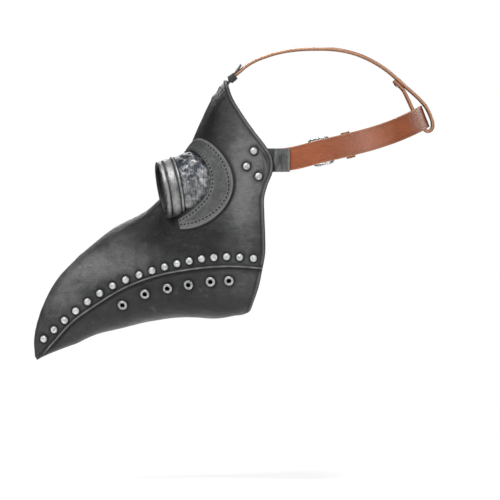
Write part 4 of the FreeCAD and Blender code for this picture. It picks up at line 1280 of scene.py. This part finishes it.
def build_flange():
    """Leather collar with rounded edges and two rows of stitches."""
    in_u, in_a = eye_base(foot_radius(2.0 * MM))
    out_u, out_a = hit(FLANGE_CENTRE, FLANGE_E1, FLANGE_E2, FLANGE_OUT, circle(FLANGE_R))
    out_a = np.minimum(out_a, math.pi - 0.03)
    in_a = np.minimum(in_a, math.pi - 0.05)
    in_u, in_a = behind_ring(in_u, in_a)
    out_u, out_a = behind_ring(out_u, out_a)
    spread = np.linalg.norm(surface(out_u, out_a) - surface(in_u, in_a), axis=-1)
    spread = np.maximum(spread, COLLAR_MIN)
    share = clustered(1.0, 0.055, 0.03)
    grid_u = in_u[:, None] + (out_u - in_u)[:, None] * share
    grid_a = in_a[:, None] + (out_a - in_a)[:, None] * share
    base = surface(grid_u, grid_a)
    out = normal(grid_u, grid_a)
    from_inner = spread[:, None] * share
    from_outer = spread[:, None] * (1 - share)
    edge = np.minimum(from_inner, from_outer)
    rise = 0.35 * MM + FLANGE_T * edge_round(edge, 1.3 * MM)
    rise += 0.14 * MM * layered(base, 0.006, 31, 3) * ease(edge / (2 * MM))
    # Painted shade along the inner edge against the tube and along the outer cut edge; a painted highlight
    # on the rounded outer shoulder; lighter along the stitch rows.
    wash = 0.55 * bell(from_inner / (1.3 * MM)) + 0.30 * bell(from_outer / (0.7 * MM))
    rub = 0.55 * bell((from_outer - 1.6 * MM) / (1.0 * MM))
    for gap in (from_inner - 3.2 * MM, from_outer - 5.2 * MM):
        rise -= 0.25 * MM * bell(gap / (1.3 * MM)) * (spread[:, None] > 8 * MM)
        rub += 0.60 * bell(gap / (1.6 * MM))
    outer = base + out * rise[..., None]
    inner = base - out * (0.25 * MM)
    made = slab("eye_collar_left", outer, inner, smooth=60)
    face_and_back(made, "wash", np.clip(wash, 0, 1))
    face_and_back(made, "rub", np.clip(rub, 0, 1))
    finished_pair(made, "eye_collar", "eye_flange", "dark_leather", collar_leather)
    lines = []
    for start, sign in ((3.2 * MM, 1), (5.2 * MM, -1)):
        share = start / np.maximum(spread, 1e-6)
        share = share if sign > 0 else 1 - share
        keep = spread > 9 * MM
        u = in_u + (out_u - in_u) * share
        a = in_a + (out_a - in_a) * share
        lines.append((surface(u, a) + normal(u, a) * (FLANGE_T + 0.12 * MM), normal(u, a), keep))
    stitches = stitch_rows(lines, 3.9 * MM, 1.9 * MM, 0.72 * MM)
    made = joined("collar_stitches_left", stitches)
    finished_pair(made, "collar_stitches", None, "dark_leather", black_thread)


def stitch_rows(lines, pitch, length, radius):
    """Short bowed stitches along lines given as points, outward normals and a mask."""
    made = []
    for points, outs, keep in lines:
        place = place_along(points)
        for s in np.arange(pitch / 2, place[-1] - pitch / 2, pitch):
            if not keep[min(int(np.searchsorted(place, s)), len(keep) - 1)]:
                continue
            path = []
            for t in np.linspace(-1, 1, 7):
                at = s + t * length / 2
                spot = np.array([np.interp(at, place, points[:, k]) for k in range(3)])
                out = unit(np.array([np.interp(at, place, outs[:, k]) for k in range(3)]))
                path.append(spot + out * (0.28 * MM - 0.75 * MM * t * t * abs(t)))
            made.append(tube("stitch", path, radius, 8))
    return made


def dishes(points):
    """Distance from the middles of the hammer's broad, shallow marks."""
    return cells(points, 6.2 * MM, 5)


def pits(points):
    """Distance from the middles of its few deep marks."""
    return cells(points, 5.0 * MM, 17)


def hammer(points, spoke):
    """Hand-beaten surface: shallow overlapping dishes with a few deep pits."""
    dish = dishes(points)
    pit = pits(points)
    lump = layered(points, 0.012, 25, 3)
    move = 0.30 * MM * lump + 0.60 * MM * (dish - 0.45) - 0.95 * MM * bell(pit / 0.28)
    return points + spoke * move[..., None]


def lining_depth(u, a, least):
    """How far down the eye's axis the inside of the shell lies, and at least this far."""
    return np.maximum((surface(u, a) - normal(u, a) * WALL - MOUTH_CENTRE) @ -EYE_OUT, least)


# Height below the ring and radius
TUBE_SIDE = mm([(0.0, 28.5), (1.5, 28.7), (3.5, 28.9), (6.0, 29.5), (8.0, 30.1), (10.0, 30.7), (12.5, 31.0),
                (80.0, 31.0)])


def build_tube():
    """Beaten tube from the ring to the shell, with its bore."""
    angle = np.arange(AROUND) / AROUND * TURN
    spoke = np.cos(angle)[:, None] * EYE_E1 + np.sin(angle)[:, None] * EYE_E2
    start = RING_LENGTH + 0.05 * MM
    depth = lining_depth(*eye_base(foot_radius(2.4 * MM)), start + 1.0 * MM)
    bore_depth = lining_depth(*eye_base(TUBE_BORE_R), start + 1.0 * MM)
    side = TUBE_SIDE
    share = np.linspace(0, 1, 90) ** 1.15
    height = start + (depth - start)[:, None] * share
    radius = np.interp(height - start, side[:, 0], side[:, 1])
    flare = (foot_radius(2.0 * MM) - side[-1, 1])[:, None]
    radius = radius + flare * ease((height - start) / (7 * MM))
    outer = MOUTH_CENTRE + spoke[:, None] * radius[..., None] - EYE_OUT * height[..., None]
    outer = hammer(outer, spoke[:, None])
    neck = 6.3 * MM
    low = neck + (bore_depth - neck)[:, None] * share
    inner = MOUTH_CENTRE + spoke[:, None] * TUBE_BORE_R - EYE_OUT * low[..., None]
    made = slab("eye_barrel_left", outer, inner, closed_rows=True, smooth=60)
    # Painted shade just under the ring, at the foot where the tube meets the shell and over the whole
    # inside of the bore; the pits hold dark patina.
    foot = bell((depth[:, None] - height - 2.6 * MM) / (2.6 * MM))
    top = bell((height - start) / (1.0 * MM))
    upper = ease((np.broadcast_to((spoke @ Z)[:, None], height.shape) + 0.15) / 0.9)
    pit = bell(pits(outer) / 0.30)
    wash = np.clip(0.9 * top + 0.55 * foot + 0.75 * pit * (0.35 + 0.65 * upper), 0, 1)
    rub = np.clip(1.2 * (dishes(outer) - 0.45), 0, 1)
    face_and_back(made, "wash", wash, 0.9)
    face_and_back(made, "rub", rub)
    face_and_back(made, "patina", np.clip(0.15 + 0.85 * upper, 0, 1))
    finished_pair(made, "eye_barrel", "eye_tube", "eyepiece_metal", pewter_tube)


# Depth behind the mouth and radius: a bead, a groove, the broad band, a groove and the last bead
RING_SIDE = mm([(0.0, 27.0), (0.7, 27.4), (3.2, 27.7), (3.9, 27.5), (4.5, 26.9), (5.1, 26.9), (5.7, 27.7),
                (6.6, 28.2), (9.5, 28.7), (12.2, 28.9), (12.9, 28.7), (13.4, 28.2), (13.9, 28.3),
                (14.4, 29.0), (15.0, 29.5), (16.0, 29.7), (16.5, 29.2)])
LENS_SEAT = 2.5 * MM
LENS_T = 2.0 * MM


def ring_dents(points, spoke):
    """Uneven turning: soft flats round the ring and small knocks on its bands."""
    move = 0.22 * MM * layered(points, 0.011, 71, 3) - 0.30 * MM * bell(cells(points, 0.0085, 44) / 0.22)
    return points + spoke * move[..., None]


def build_ring():
    """Turned front ring with its seat for the lens and a rolled lip round the mouth."""
    fine = np.linspace(RING_SIDE[0, 0], RING_SIDE[-1, 0], 70)
    outside = np.stack([np.interp(fine, RING_SIDE[:, 0], RING_SIDE[:, 1]), -fine], -1)
    seat = LENS_SEAT / MM
    inside = mm([(26.05, -RING_LENGTH / MM), (26.05, -seat), (24.0, -seat), (24.0, -0.7), (24.5, -0.1),
                 (25.4, 0.15), (26.3, 0.1)])
    outline = np.concatenate([outside, inside])
    made = lathe("eye_ring_front_left", outline, MOUTH_CENTRE, EYE_OUT, 224, ring_dents, 55)
    points = mesh_points(made)
    off = points - MOUTH_CENTRE
    height = -(off @ EYE_OUT)
    wide = np.linalg.norm(off + height[:, None] * EYE_OUT, axis=1)
    outside = ease((wide - 26.4 * MM) / (0.3 * MM))
    # Dark patina in the two grooves; painted shade at the back edge against the tube and inside the lip.
    wash = 0.85 * bell((height - 4.8 * MM) / (0.55 * MM)) + 0.85 * bell((height - 13.5 * MM) / (0.5 * MM))
    wash += 0.8 * bell((height - 16.6 * MM) / (0.5 * MM))
    wash = np.maximum(wash * outside, (1 - outside) * ease((25.2 * MM - wide) / (0.5 * MM)) * 0.75)
    rub = bell((height - 2.2 * MM) / (1.4 * MM)) + bell((height - 9.0 * MM) / (3.0 * MM))
    rub += bell((height - 15.4 * MM) / (0.8 * MM))
    attribute(made, "wash", np.clip(wash, 0, 1))
    attribute(made, "rub", np.clip(rub * outside, 0, 1))
    finished_pair(made, "eye_ring_front", "eye_ring", "eyepiece_metal", pewter_ring)


def build_lens():
    """Slightly domed smoked disc with a rounded rim."""
    r = 25.55 * MM
    back = -(LENS_SEAT + LENS_T)
    front = -LENS_SEAT - 0.06 * MM
    arc = np.linspace(0.004, 1, 14)
    face = [(r * t * 0.985, front - 0.25 * MM * t * t) for t in arc]
    rear = [(r * t * 0.985, back + 0.1 * MM) for t in arc[::-1]]
    outline = face + [(r, front - 0.5 * MM), (r, back + 0.4 * MM)] + rear
    made = lathe("eye_lens_disc_left", outline, MOUTH_CENTRE, EYE_OUT, 128)
    finished_pair(made, "eye_lens_disc", "eye_lens", "lens", smoke_lens)


# ---------------------------------------------------------------- straps

def ribbon(name, centres, acrosses, outs, width, thickness, corner=0.55 * MM, closed=False, crown=0.0):
    """Strap of leather along rows of centre points, with softened cut edges."""
    share = clustered(width, corner, 1.6 * MM)
    across = (share - 0.5) * width
    edge = edge_round(np.minimum(share, 1 - share) * width, corner)
    edge = edge / edge.max()
    thick = np.broadcast_to(thickness, len(centres)).copy()
    if not closed:
        place = place_along(centres)
        end = np.minimum(place, place[-1] - place)
        thick = thick * edge_round(end, corner)
    base = centres[:, None] + acrosses[:, None] * across[None, :, None]
    half = thick[:, None] / 2 * edge[None]
    wave = 0.10 * MM * layered(base, 0.013, 91, 2) + crown * (1 - (2 * share - 1) ** 2)
    from_side = np.minimum(share, 1 - share) * width
    groove = bell((from_side - STRAP_GROOVE_AT) / (0.5 * MM))
    crease = -0.16 * MM * groove
    outer = base + outs[:, None] * (half + wave + crease[None])[..., None]
    inner = base - outs[:, None] * (half - wave)[..., None]
    made = slab(name, outer, inner, closed_rows=closed, smooth=60)
    cut = np.broadcast_to(bell(from_side / (0.45 * MM)), half.shape)
    face_and_back(made, "cut", 0.85 * cut, 0.15 * cut)
    face_and_back(made, "suede", np.zeros(half.shape), 1.0)
    face_and_back(made, "wash", 0.25 * np.broadcast_to(groove, half.shape))
    return made


BACK_RIGHT = BACK_LINE[:-1][::-1] * (-1, 1, 1)
back_line = Curve.along(np.concatenate([BACK_LINE, BACK_RIGHT]))
BACK_LENGTH = 2 * np.linalg.norm(np.diff(BACK_LINE, axis=0), axis=1).sum()


def back_fraction(t):
    """Fraction along the back line of a place t in front of the buckle's heel bar."""
    return 1 - (HEEL_FROM_TEMPLE - t) / BACK_LENGTH


def strap_frame(f):
    """Middle points, width directions and outward normals of the strap on the head."""
    f = np.atleast_1d(np.asarray(f, float))
    here = back_line.at(f)
    along = unit(back_line.at(np.minimum(f + 0.004, 1)) - back_line.at(np.maximum(f - 0.004, 0)))
    off = here - HEAD_CENTRE
    across = unit(np.cross(off / HEAD_RADII ** 2, along))
    across = across * np.where(across[:, 2:] < 0, -1, 1)
    out = np.cross(along, across)
    out = out * np.where(np.sum(out * off, axis=1, keepdims=True) < 0, -1, 1)
    return here, across, unit(out)


HEEL, HEEL_ACROSS, HEEL_OUT = (v[0] for v in strap_frame(back_fraction(0.0)))
HEEL_ALONG = np.cross(HEEL_ACROSS, HEEL_OUT)


def at_heel(t, across, out):
    """Point given as distances along, across and out from the heel bar."""
    t, across, out = np.broadcast_arrays(t, across, out)
    return HEEL + t[..., None] * HEEL_ALONG + across[..., None] * HEEL_ACROSS + out[..., None] * HEEL_OUT


# The strap's end under itself: along the strap from the heel bar, and out from the back line
STRAP_TURN_IN = mm([(-2.5, -2.45), (-5.0, -2.2), (-8.0, -1.95), (-11.8, -1.95)])


def build_long_strap():
    """Left temple round the head to the buckle, turned round the heel bar and stitched to itself."""
    raised = WIRE_R + 0.3 * MM + FOLD_T / 2
    f = np.concatenate([np.linspace(0, back_fraction(-0.030), 190)[:-1],
                        np.linspace(back_fraction(-0.030), back_fraction(-0.0015), 40)])
    here, across, out = strap_frame(f)
    t = (f - back_fraction(0)) * BACK_LENGTH
    lift = ease((t + 12 * MM) / (10 * MM))
    centres = here + out * (raised * lift)[:, None]
    thick = STRAP_T + (FOLD_T - STRAP_T) * lift
    bend = np.radians(np.linspace(90, -90, 15))
    fold = np.concatenate([raised * np.stack([np.cos(bend), np.sin(bend)], -1), STRAP_TURN_IN])
    rest = at_heel(fold[:, 0], 0.0, fold[:, 1])
    run = unit(np.gradient(rest, axis=0))
    fold_out = unit(np.cross(run, HEEL_ACROSS))
    fold_out = fold_out * np.sign(fold_out[0] @ HEEL_OUT)
    centres = np.concatenate([centres, rest])
    acrosses = np.concatenate([across, np.broadcast_to(HEEL_ACROSS, rest.shape)])
    outs = np.concatenate([out, fold_out])
    thick = np.concatenate([thick, np.full(len(rest), FOLD_T * 0.75)])
    made = ribbon("back_strap_left", centres, acrosses, outs, STRAP_W, thick)
    slot = box_knife((-5.0 * MM, 4.5 * MM), (-1.7 * MM, 1.7 * MM), (-6 * MM, 6 * MM))
    cut_out(made, [slot])
    finished(made, "back_strap", ["back_strap_long"], "strap_leather", strap_brown)
    lines = []
    for t in (-6.5 * MM, -9.5 * MM):
        across = np.linspace(-STRAP_W / 2 + 2.5 * MM, STRAP_W / 2 - 2.5 * MM, 30)
        f = np.full(30, back_fraction(t))
        here, way, out = strap_frame(f)
        lift = raised * ease((t + 12 * MM) / (10 * MM))
        points = here + way * across[:, None] + out * (lift + STRAP_T / 2 - 0.15 * MM)
        lines.append((points, out, np.ones(30, bool)))
    made = joined("buckle_stitches", stitch_rows(lines, 3.0 * MM, 2.1 * MM, 0.35 * MM))
    finished(made, "back_strap", [], "strap_leather", brown_thread)


def box_knife(along, across, out):
    """Cutter with flat sides in the heel bar's frame."""
    corners = [at_heel(a, b, c) for a in along for b in across for c in out]
    faces = [(0, 1, 3, 2), (4, 6, 7, 5), (0, 4, 5, 1), (2, 3, 7, 6), (0, 2, 6, 4), (1, 5, 7, 3)]
    return new_object("knife", np.array(corners), faces)


def tail_height(t):
    """Middle of the short strap above the back line: over the heel bar, then down on the long strap."""
    return 5.0 * MM * ease((17.5 * MM - t) / (14 * MM)) - 2.3 * MM * ease((-3.0 * MM - t) / (10 * MM))


def build_short_strap():
    """Right temple to the tail that lies over the buckle."""
    f = np.linspace(back_fraction(-TAIL_OVER), 1.0, 150)
    here, across, out = strap_frame(f)
    t = (f - back_fraction(0)) * BACK_LENGTH
    centres = here + out * tail_height(t)[:, None]
    made = ribbon("back_strap_right", centres, across, out, STRAP_W, STRAP_T)
    knives = [box_knife((-2.0 * MM, 14.5 * MM), (-1.6 * MM, 1.6 * MM), (-5 * MM, 11 * MM))]
    for i in range(HOLES):
        spot = at_heel(-FIRST_HOLE_AT - HOLE_PITCH * i, 0.0, 2.7 * MM)
        knives.append(lathe("hole", rod_outline(HOLE_R, -4 * MM, 4 * MM), spot, HEEL_OUT, 24))
    cut_out(made, knives)
    finished(made, "back_strap", ["back_strap_short"], "strap_leather", strap_brown)


def profile_frame(line, f):
    """Points, X directions and normals for a strap whose side profile is a (y, z) curve."""
    spot = line.at(f)
    ahead = line.at(np.minimum(f + 0.002, 1)) - line.at(np.maximum(f - 0.002, 0))
    ahead = unit(ahead)
    zero = np.zeros(len(f))
    points = np.stack([zero, spot[:, 0], spot[:, 1]], -1)
    outs = np.stack([zero, -ahead[:, 1], ahead[:, 0]], -1)
    return points, np.broadcast_to(X, points.shape), outs


def build_top_strap():
    """Crown strap whose rear end loops round the back strap."""
    points, across, outs = profile_frame(Curve.along(TOP_LINE), np.linspace(0, 1, 330))
    made = ribbon("top_strap_band", points, across, outs, STRAP_W, STRAP_T, crown=1.2 * MM)
    finished(made, "top_strap", ["top_strap"], "strap_leather", strap_brown)
    cap = rivet_outline(3.4 * MM, 1.5 * MM)[:-2] + [(3.3 * MM, 0.0), (0.01 * MM, 0.0)]
    start = LOOP_RIVET_AT + LOOP_RIVET_OUT * (STRAP_T / 2 + 0.05 * MM)
    back = LOOP_RIVET_AT - LOOP_RIVET_OUT * (STRAP_T * 1.5 + 1.1 * MM)
    parts = [lathe("cap", cap, start, LOOP_RIVET_OUT, 40, wrought(7, 0.08 * MM, 1.5 * MM, start)),
             lathe("cap", cap, back, -LOOP_RIVET_OUT, 40, wrought(8, 0.08 * MM, 1.5 * MM, back))]
    made = joined("loop_rivet_caps", parts)
    even(made, wash=0.0)
    finished(made, "top_strap", ["loop_rivet"], "buckle_metal", steel)


def build_buckle():
    """Bent-wire frame and its pin."""
    tilt = math.hypot(FRAME_REACH, FRAME_FRONT_RISE)
    lean = math.asin(FRAME_FRONT_RISE / tilt)
    corners = np.array([(0, -FRAME_HALF_W), (tilt, -FRAME_HALF_W), (tilt, FRAME_HALF_W), (0, FRAME_HALF_W)])
    loop = filleted(corners, 4.2 * MM, 10)
    dense = []
    for a, b in zip(loop, np.roll(loop, -1, 0)):
        dense += [a + (b - a) * t for t in np.linspace(0, 1, 4)[:-1]]
    dense = np.array(dense)
    keep = np.linalg.norm(dense - np.roll(dense, 1, 0), axis=1) > 0.05 * MM
    dense = dense[keep]
    path = at_heel(dense[:, 0] * math.cos(lean), dense[:, 1], dense[:, 0] * math.sin(lean))
    made = tube("buckle_wire_frame", path, WIRE_R, 20, closed=True)
    finished(made, "buckle_frame", ["buckle_frame"], "buckle_metal", steel)
    tip_rise = FRAME_FRONT_RISE + WIRE_R + 1.3 * MM
    turn = np.radians(np.linspace(-200, 75, 26))
    eye_r = WIRE_R + 0.75 * MM
    eye = np.stack([eye_r * np.cos(turn), eye_r * np.sin(turn)], -1)
    shaft_x = np.linspace(2.4 * MM, FRAME_REACH + 1.6 * MM, 16)
    shaft_z = np.interp(shaft_x, [2.4 * MM, 9 * MM, FRAME_REACH + 1.6 * MM], [2.6 * MM, 3.9 * MM, tip_rise])
    line = np.concatenate([eye, np.stack([shaft_x, shaft_z], -1)])
    path = at_heel(line[:, 0], 0.0, line[:, 1])
    shaft_r = [0.70, 0.78, 0.86, 0.92] + [0.95] * 9 + [0.90, 0.75, 0.45]
    radii = np.concatenate([np.full(len(eye), 0.65 * MM), mm(shaft_r)])
    made = tube("buckle_pin", path, radii, 16)
    finished(made, "buckle_prong", ["buckle_prong"], "buckle_metal", steel)


KEEPER_BACK = -17.2 * MM
KEEPER_BAND_W = 8 * MM


def build_strap_keeper():
    """Leather loop round the long strap and the tail."""
    (here,), (across,), (out,) = strap_frame(back_fraction(KEEPER_BACK))
    along = np.cross(across, out)
    fit = 0.9 * MM
    half = STRAP_W / 2 + fit + 0.7 * MM
    low = -STRAP_T / 2 - fit - 0.7 * MM
    high = 2.7 * MM + STRAP_T / 2 + fit + 0.7 * MM
    loop = filleted([(-half, low), (half, low), (half, high), (-half, high)], 1.6 * MM, 6)
    dense = []
    for a, b in zip(loop, np.roll(loop, -1, 0)):
        count = max(2, int(np.linalg.norm(b - a) / (1.2 * MM)))
        dense += [a + (b - a) * t for t in np.linspace(0, 1, count)[:-1]]
    dense = np.array(dense)
    points = here + dense[:, :1] * across + dense[:, 1:] * out
    run = unit(np.roll(points, -1, 0) - np.roll(points, 1, 0))
    outs = unit(np.cross(np.broadcast_to(along, run.shape), run))
    middle = here + out * (low + high) / 2
    outs = turned_out(outs, points, middle)
    made = ribbon("strap_keeper_loop", points, np.broadcast_to(along, points.shape), outs, KEEPER_BAND_W,
                  1.3 * MM, 0.4 * MM, closed=True)
    finished(made, "strap_keeper", ["strap_keeper"], "strap_leather", strap_brown)


# ---------------------------------------------------------------- tabs

def soft_sheet(name, centres, acrosses, outs, width, thickness, wrinkle, seed, grain=(1.0, 1.0, 1.0)):
    """Thin folded leather: rounded edges and wrinkles in the mesh."""
    corner = 0.45 * MM
    share = clustered(width, corner, 0.7 * MM)
    across = (share - 0.5) * width
    edge = edge_round(np.minimum(share, 1 - share) * width, corner)
    edge = edge / edge.max()
    place = place_along(centres)
    end = np.minimum(place, place[-1] - place)
    thick = thickness * edge_round(end, corner)
    base = centres[:, None] + acrosses[:, None] * across[None, :, None]
    half = thick[:, None] / 2 * edge[None]
    fold = layered(base * grain, 0.0042, seed, 3)
    move = wrinkle * fold
    outer = base + outs[:, None] * (half + move)[..., None]
    inner = base - outs[:, None] * (half - 0.1 * move)[..., None]
    made = slab(name, outer, inner, smooth=60)
    # Painted shade in the troughs of the wrinkles and painted highlights on their crests; lighter along the
    # cut edges and at the far end.
    low = np.clip(-fold, 0, 1)
    high = np.clip(fold - 0.1, 0, 1)
    rim = bell(np.minimum(share, 1 - share) * width / (0.6 * MM))[None] * np.ones_like(half)
    last = bell((place[-1] - place) / (1.2 * MM))[:, None]
    face_and_back(made, "wash", np.clip(0.8 * low, 0, 1))
    face_and_back(made, "rub", np.clip(0.45 * high + 0.30 * rim + 0.7 * last, 0, 1), 0.3 * rim)
    return made


def dense_line(points, pitch):
    """The same run of corners with points every pitch along it, eased round the corners."""
    points = np.array(points, float)
    place = place_along(points)
    s = np.linspace(0, place[-1], max(4, int(place[-1] / pitch)))
    flat = np.stack([np.interp(s, place, points[:, k]) for k in range(points.shape[1])], -1)
    for _ in range(3):
        flat[1:-1] = (flat[:-2] + 2 * flat[1:-1] + flat[2:]) / 4
    return flat


def build_temple_tab():
    """Creased tab: it comes from under the lobe, folds in front of the strap end and holds it."""
    half = STRAP_T / 2 + 0.4 * MM + TAB_T / 2

    def middle(y):
        return BACK_LINE[0, 0] + TEMPLE_LEAN * y

    bend = [(-1.0, TAB_END), (-1.0, -1.4 * MM), (-0.8, -2.6 * MM), (0.0, -3.1 * MM), (0.8, -2.6 * MM),
            (1.0, -1.2 * MM), (1.0, TAB_END)]
    plan = dense_line([(middle(y) + half * side, y) for side, y in bend], 0.5 * MM)
    rise = sum(TAB_Z) / 2
    points = np.stack([plan[:, 0], plan[:, 1], np.full(len(plan), rise)], -1)
    run = unit(np.gradient(points, axis=0))
    outs = np.cross(run, Z)
    heart = np.array((middle(4 * MM), 4 * MM, rise))
    outs = outs * np.sign(outs[-1] @ (points[-1] - heart))
    height = TAB_Z[1] - TAB_Z[0]
    wide = soft_sheet("temple_tab_fold_left", points, np.broadcast_to(Z, points.shape), outs, height, TAB_T,
                      0.48 * MM, 301, (1.0, 2.2, 0.5))
    y = np.linspace(-36 * MM, -2.2 * MM, 60)
    narrow = ease((y + 21 * MM) / (13 * MM))
    low = -17 * MM + (TAB_Z[0] + 17 * MM) * narrow
    high = 16 * MM + (TAB_Z[1] - 16 * MM) * narrow
    share = np.linspace(0, 1, 24)
    grid_y = np.broadcast_to(y[:, None], (60, 24))
    grid_z = low[:, None] + (high - low)[:, None] * share
    edge = rear_edge.value(grid_z)
    u, a = locate(np.stack([np.minimum(grid_y, edge - 0.4 * MM), grid_z], -1).reshape(-1, 2))
    under = offset(u, a, np.full(u.shape, -WALL - 0.15 * MM)).reshape(60, 24, 3)
    x = np.minimum(under[..., 0], middle(grid_y) + 1.0 * MM)
    x = x + 0.12 * MM * layered(np.stack([x, grid_y, grid_z], -1), 0.006, 311, 2)
    x = np.minimum(x, under[..., 0])
    outer = np.stack([x, grid_y, grid_z], -1)
    inner = outer - (1.4 * MM, 0, 0)
    tongue = slab("tongue", outer, inner)
    even(tongue, wash=0.25, rub=0.0)
    made = joined("temple_tab_fold_left", [wide, tongue])
    finished_pair(made, "temple_tab_fold", "temple_tab", "dark_leather", dark_leather)


def keeper_points(outline):
    """Points in the plane x = 0 from (e, n): e up the strap, n out from the head."""
    outline = np.asarray(outline, float)
    ey, ez = KEEPER_ALONG
    y = KEEPER_AT[0] + outline[:, 0] * ey - outline[:, 1] * ez
    z = KEEPER_AT[1] + outline[:, 0] * ez + outline[:, 1] * ey
    return np.stack([np.zeros(len(outline)), y, z], -1)


def build_forehead_keeper():
    """Dark strip folded round the front end of the crown strap, with a free tail."""
    half = STRAP_T / 2 + 0.45 * MM + 0.55 * MM
    bend = mm([(4.0, 0), (-2.2, 0), (-3.2, 0), (-3.4, 0), (-3.1, 0), (-2.0, 0), (4.6, 0), (9.5, 1.1),
               (15.1, 3.0)])
    bend[:, 1] += half * np.array((-1, -1, -0.7, 0, 0.7, 1, 1, 1, 1))
    outline = dense_line(bend, 0.45 * MM)
    points = keeper_points(outline)
    way = unit(np.gradient(points, axis=0))
    outs = np.cross(X, way)
    outs = outs * np.sign(outs[-1] @ KEEPER_LIFT)
    strip = soft_sheet("keeper_strip", points, np.broadcast_to(X, points.shape), outs, 23 * MM, 1.7 * MM,
                       0.22 * MM, 331, (0.6, 1.8, 1.8))
    bridge = keeper_points(dense_line(mm([(-11.5, -2.6), (-6.5, -1.3), (-2.9, -0.3)]), 0.4 * MM))
    way = unit(np.gradient(bridge, axis=0))
    lift = np.cross(X, way)
    lift = lift * np.sign(lift[-1] @ KEEPER_LIFT)
    bridge = soft_sheet("bridge", bridge, np.broadcast_to(X, bridge.shape), lift, 22 * MM, 2.6 * MM,
                        0.15 * MM, 341, (0.6, 1.8, 1.8))
    bands = []
    for e in mm((-2.2, -0.4, 1.4, 3.2)):
        wide, high = 12.3 * MM, half + 0.75 * MM
        loop = filleted([(-wide, -high), (wide, -high), (wide, high), (-wide, high)], 1.5 * MM, 6)
        base = keeper_points([(e, 0.0)])[0]
        path = base + loop[:, :1] * X + loop[:, 1:] * KEEPER_LIFT
        wobble = 0.25 * MM * layered(path, 0.004, 350, 2)
        path = path + wobble[:, None] * KEEPER_LIFT
        bands.append(tube("band", path, 0.95 * MM, 10, closed=True))
    u = np.linspace(0.947, 0.996, 26)
    share = np.linspace(-1, 1, 24)
    edge_angle = keeper_angle(u, 11 * MM)
    grid_u = np.broadcast_to(u[:, None], (26, 24))
    grid_a = math.pi + edge_angle[:, None] * share
    outer = offset(grid_u, grid_a, np.full(grid_a.shape, -WALL - 0.2 * MM))
    inner = offset(grid_u, grid_a, np.full(grid_a.shape, -WALL - 1.25 * MM))
    tongue = slab("tongue", outer, inner)
    for shape in bands + [tongue]:
        even(shape, wash=0.35, rub=0.1)
    made = joined("forehead_keeper_strip", [strip, bridge, tongue] + bands)
    finished(made, "mask", ["forehead_keeper"], "dark_leather", dark_leather)


def keeper_angle(u, half):
    """Angle either side of the ridge at which the shell is half wide."""
    low = np.zeros_like(u)
    high = np.full_like(u, 1.0)
    for _ in range(30):
        middle = (low + high) / 2
        inside = np.abs(surface(u, math.pi - middle)[:, 0]) < half
        low = np.where(inside, middle, low)
        high = np.where(inside, high, middle)
    return low


# ---------------------------------------------------------------- CAD pieces that stay

def repaint(names, material):
    """Gives CAD nodes that stay in the model a material."""
    for name in names:
        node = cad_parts[name]
        node.data.materials.clear()
        node.data.materials.append(material)


def pairs(*names):
    """Both nodes of each pair."""
    return [name + side for name in names for side in ("_left", "_right")]


# ---------------------------------------------------------------- floor, light and camera

def build_stage():
    """Pale floor where the wearer's stand would be, soft panels of light and the camera."""
    spokes = 96
    rings = FLOOR_REACH * np.array((0.001, 0.4, 0.7, 0.9, 1.0))
    points = np.full((len(rings), spokes, 3), FLOOR_Z)
    points[..., :2] = circle(rings[:, None], spokes) + LOOK_AT[:2]
    floor = new_object("floor", points, grid_faces(len(rings), spokes, False, True))
    paint = Paint("floor_paint", Roughness=0.9, Emission_Strength=0.24)
    paint.shader.inputs["Emission Color"].default_value = (1, 1, 1, 1)
    mottle = paint.noise(0.5, 3)
    floor.data.materials.append(paint.done(paint.ramp(mottle, (0.3, grey(0.86)), (0.7, grey(0.90)))))
    world = bpy.data.worlds.new("studio")
    world.use_nodes = True
    tree = world.node_tree
    sky = tree.nodes["Background"]
    sky.inputs["Color"].default_value = (1, 1, 1, 1)
    seen = tree.nodes.new("ShaderNodeLightPath").outputs["Is Camera Ray"]
    share = tree.nodes.new("ShaderNodeMapRange")
    share.inputs["To Min"].default_value = SKY_LIGHT
    share.inputs["To Max"].default_value = SKY_SEEN
    tree.links.new(seen, share.inputs["Value"])
    tree.links.new(share.outputs["Result"], sky.inputs["Strength"])
    bpy.context.scene.world = world
    bpy.context.scene.view_settings.view_transform = "Standard"
    for light in PANELS:
        panel(*light)
    view = bpy.data.cameras.new("camera")
    view.lens = LENS_MM
    view.sensor_width = 36
    camera = bpy.data.objects.new("camera", view)
    bpy.context.scene.collection.objects.link(camera)
    rise = math.sin(CAMERA_ELEVATION) * CAMERA_FAR
    camera.location = LOOK_AT + (math.cos(CAMERA_ELEVATION) * CAMERA_FAR, 0, rise)
    aim_at(camera, LOOK_AT)
    bpy.context.scene.camera = camera


def aim_at(thing, target):
    """Turns a lamp or camera to face a point."""
    way = Vector(target) - thing.location
    thing.rotation_euler = way.to_track_quat("-Z", "Y").to_euler()


def panel(name, place, size, power):
    """Square area light that faces the mask."""
    light = bpy.data.lights.new(name, "AREA")
    light.energy = power
    light.size = size
    lamp = bpy.data.objects.new(name, light)
    bpy.context.scene.collection.objects.link(lamp)
    lamp.location = place
    aim_at(lamp, LOOK_AT)


build_stage()
build_shells()
build_welt()
build_rivets("mouth_studs", RIVETS, RIVET_R, RIVET_RISE, "mouth_rivets")
build_rivets("temple_studs", TEMPLES, RIVET_R, RIVET_RISE, "temple_rivets")
build_eyelets()
build_flange()
build_tube()
build_ring()
build_lens()
build_long_strap()
build_short_strap()
build_top_strap()
build_buckle()
build_strap_keeper()
build_temple_tab()
build_forehead_keeper()
repaint(pairs("mouth_burrs", "temple_burrs", "vent_washers"), dull_silver)
repaint(pairs("seam_backing"), dark_leather)
repaint(pairs("lens_gasket"), rubber)
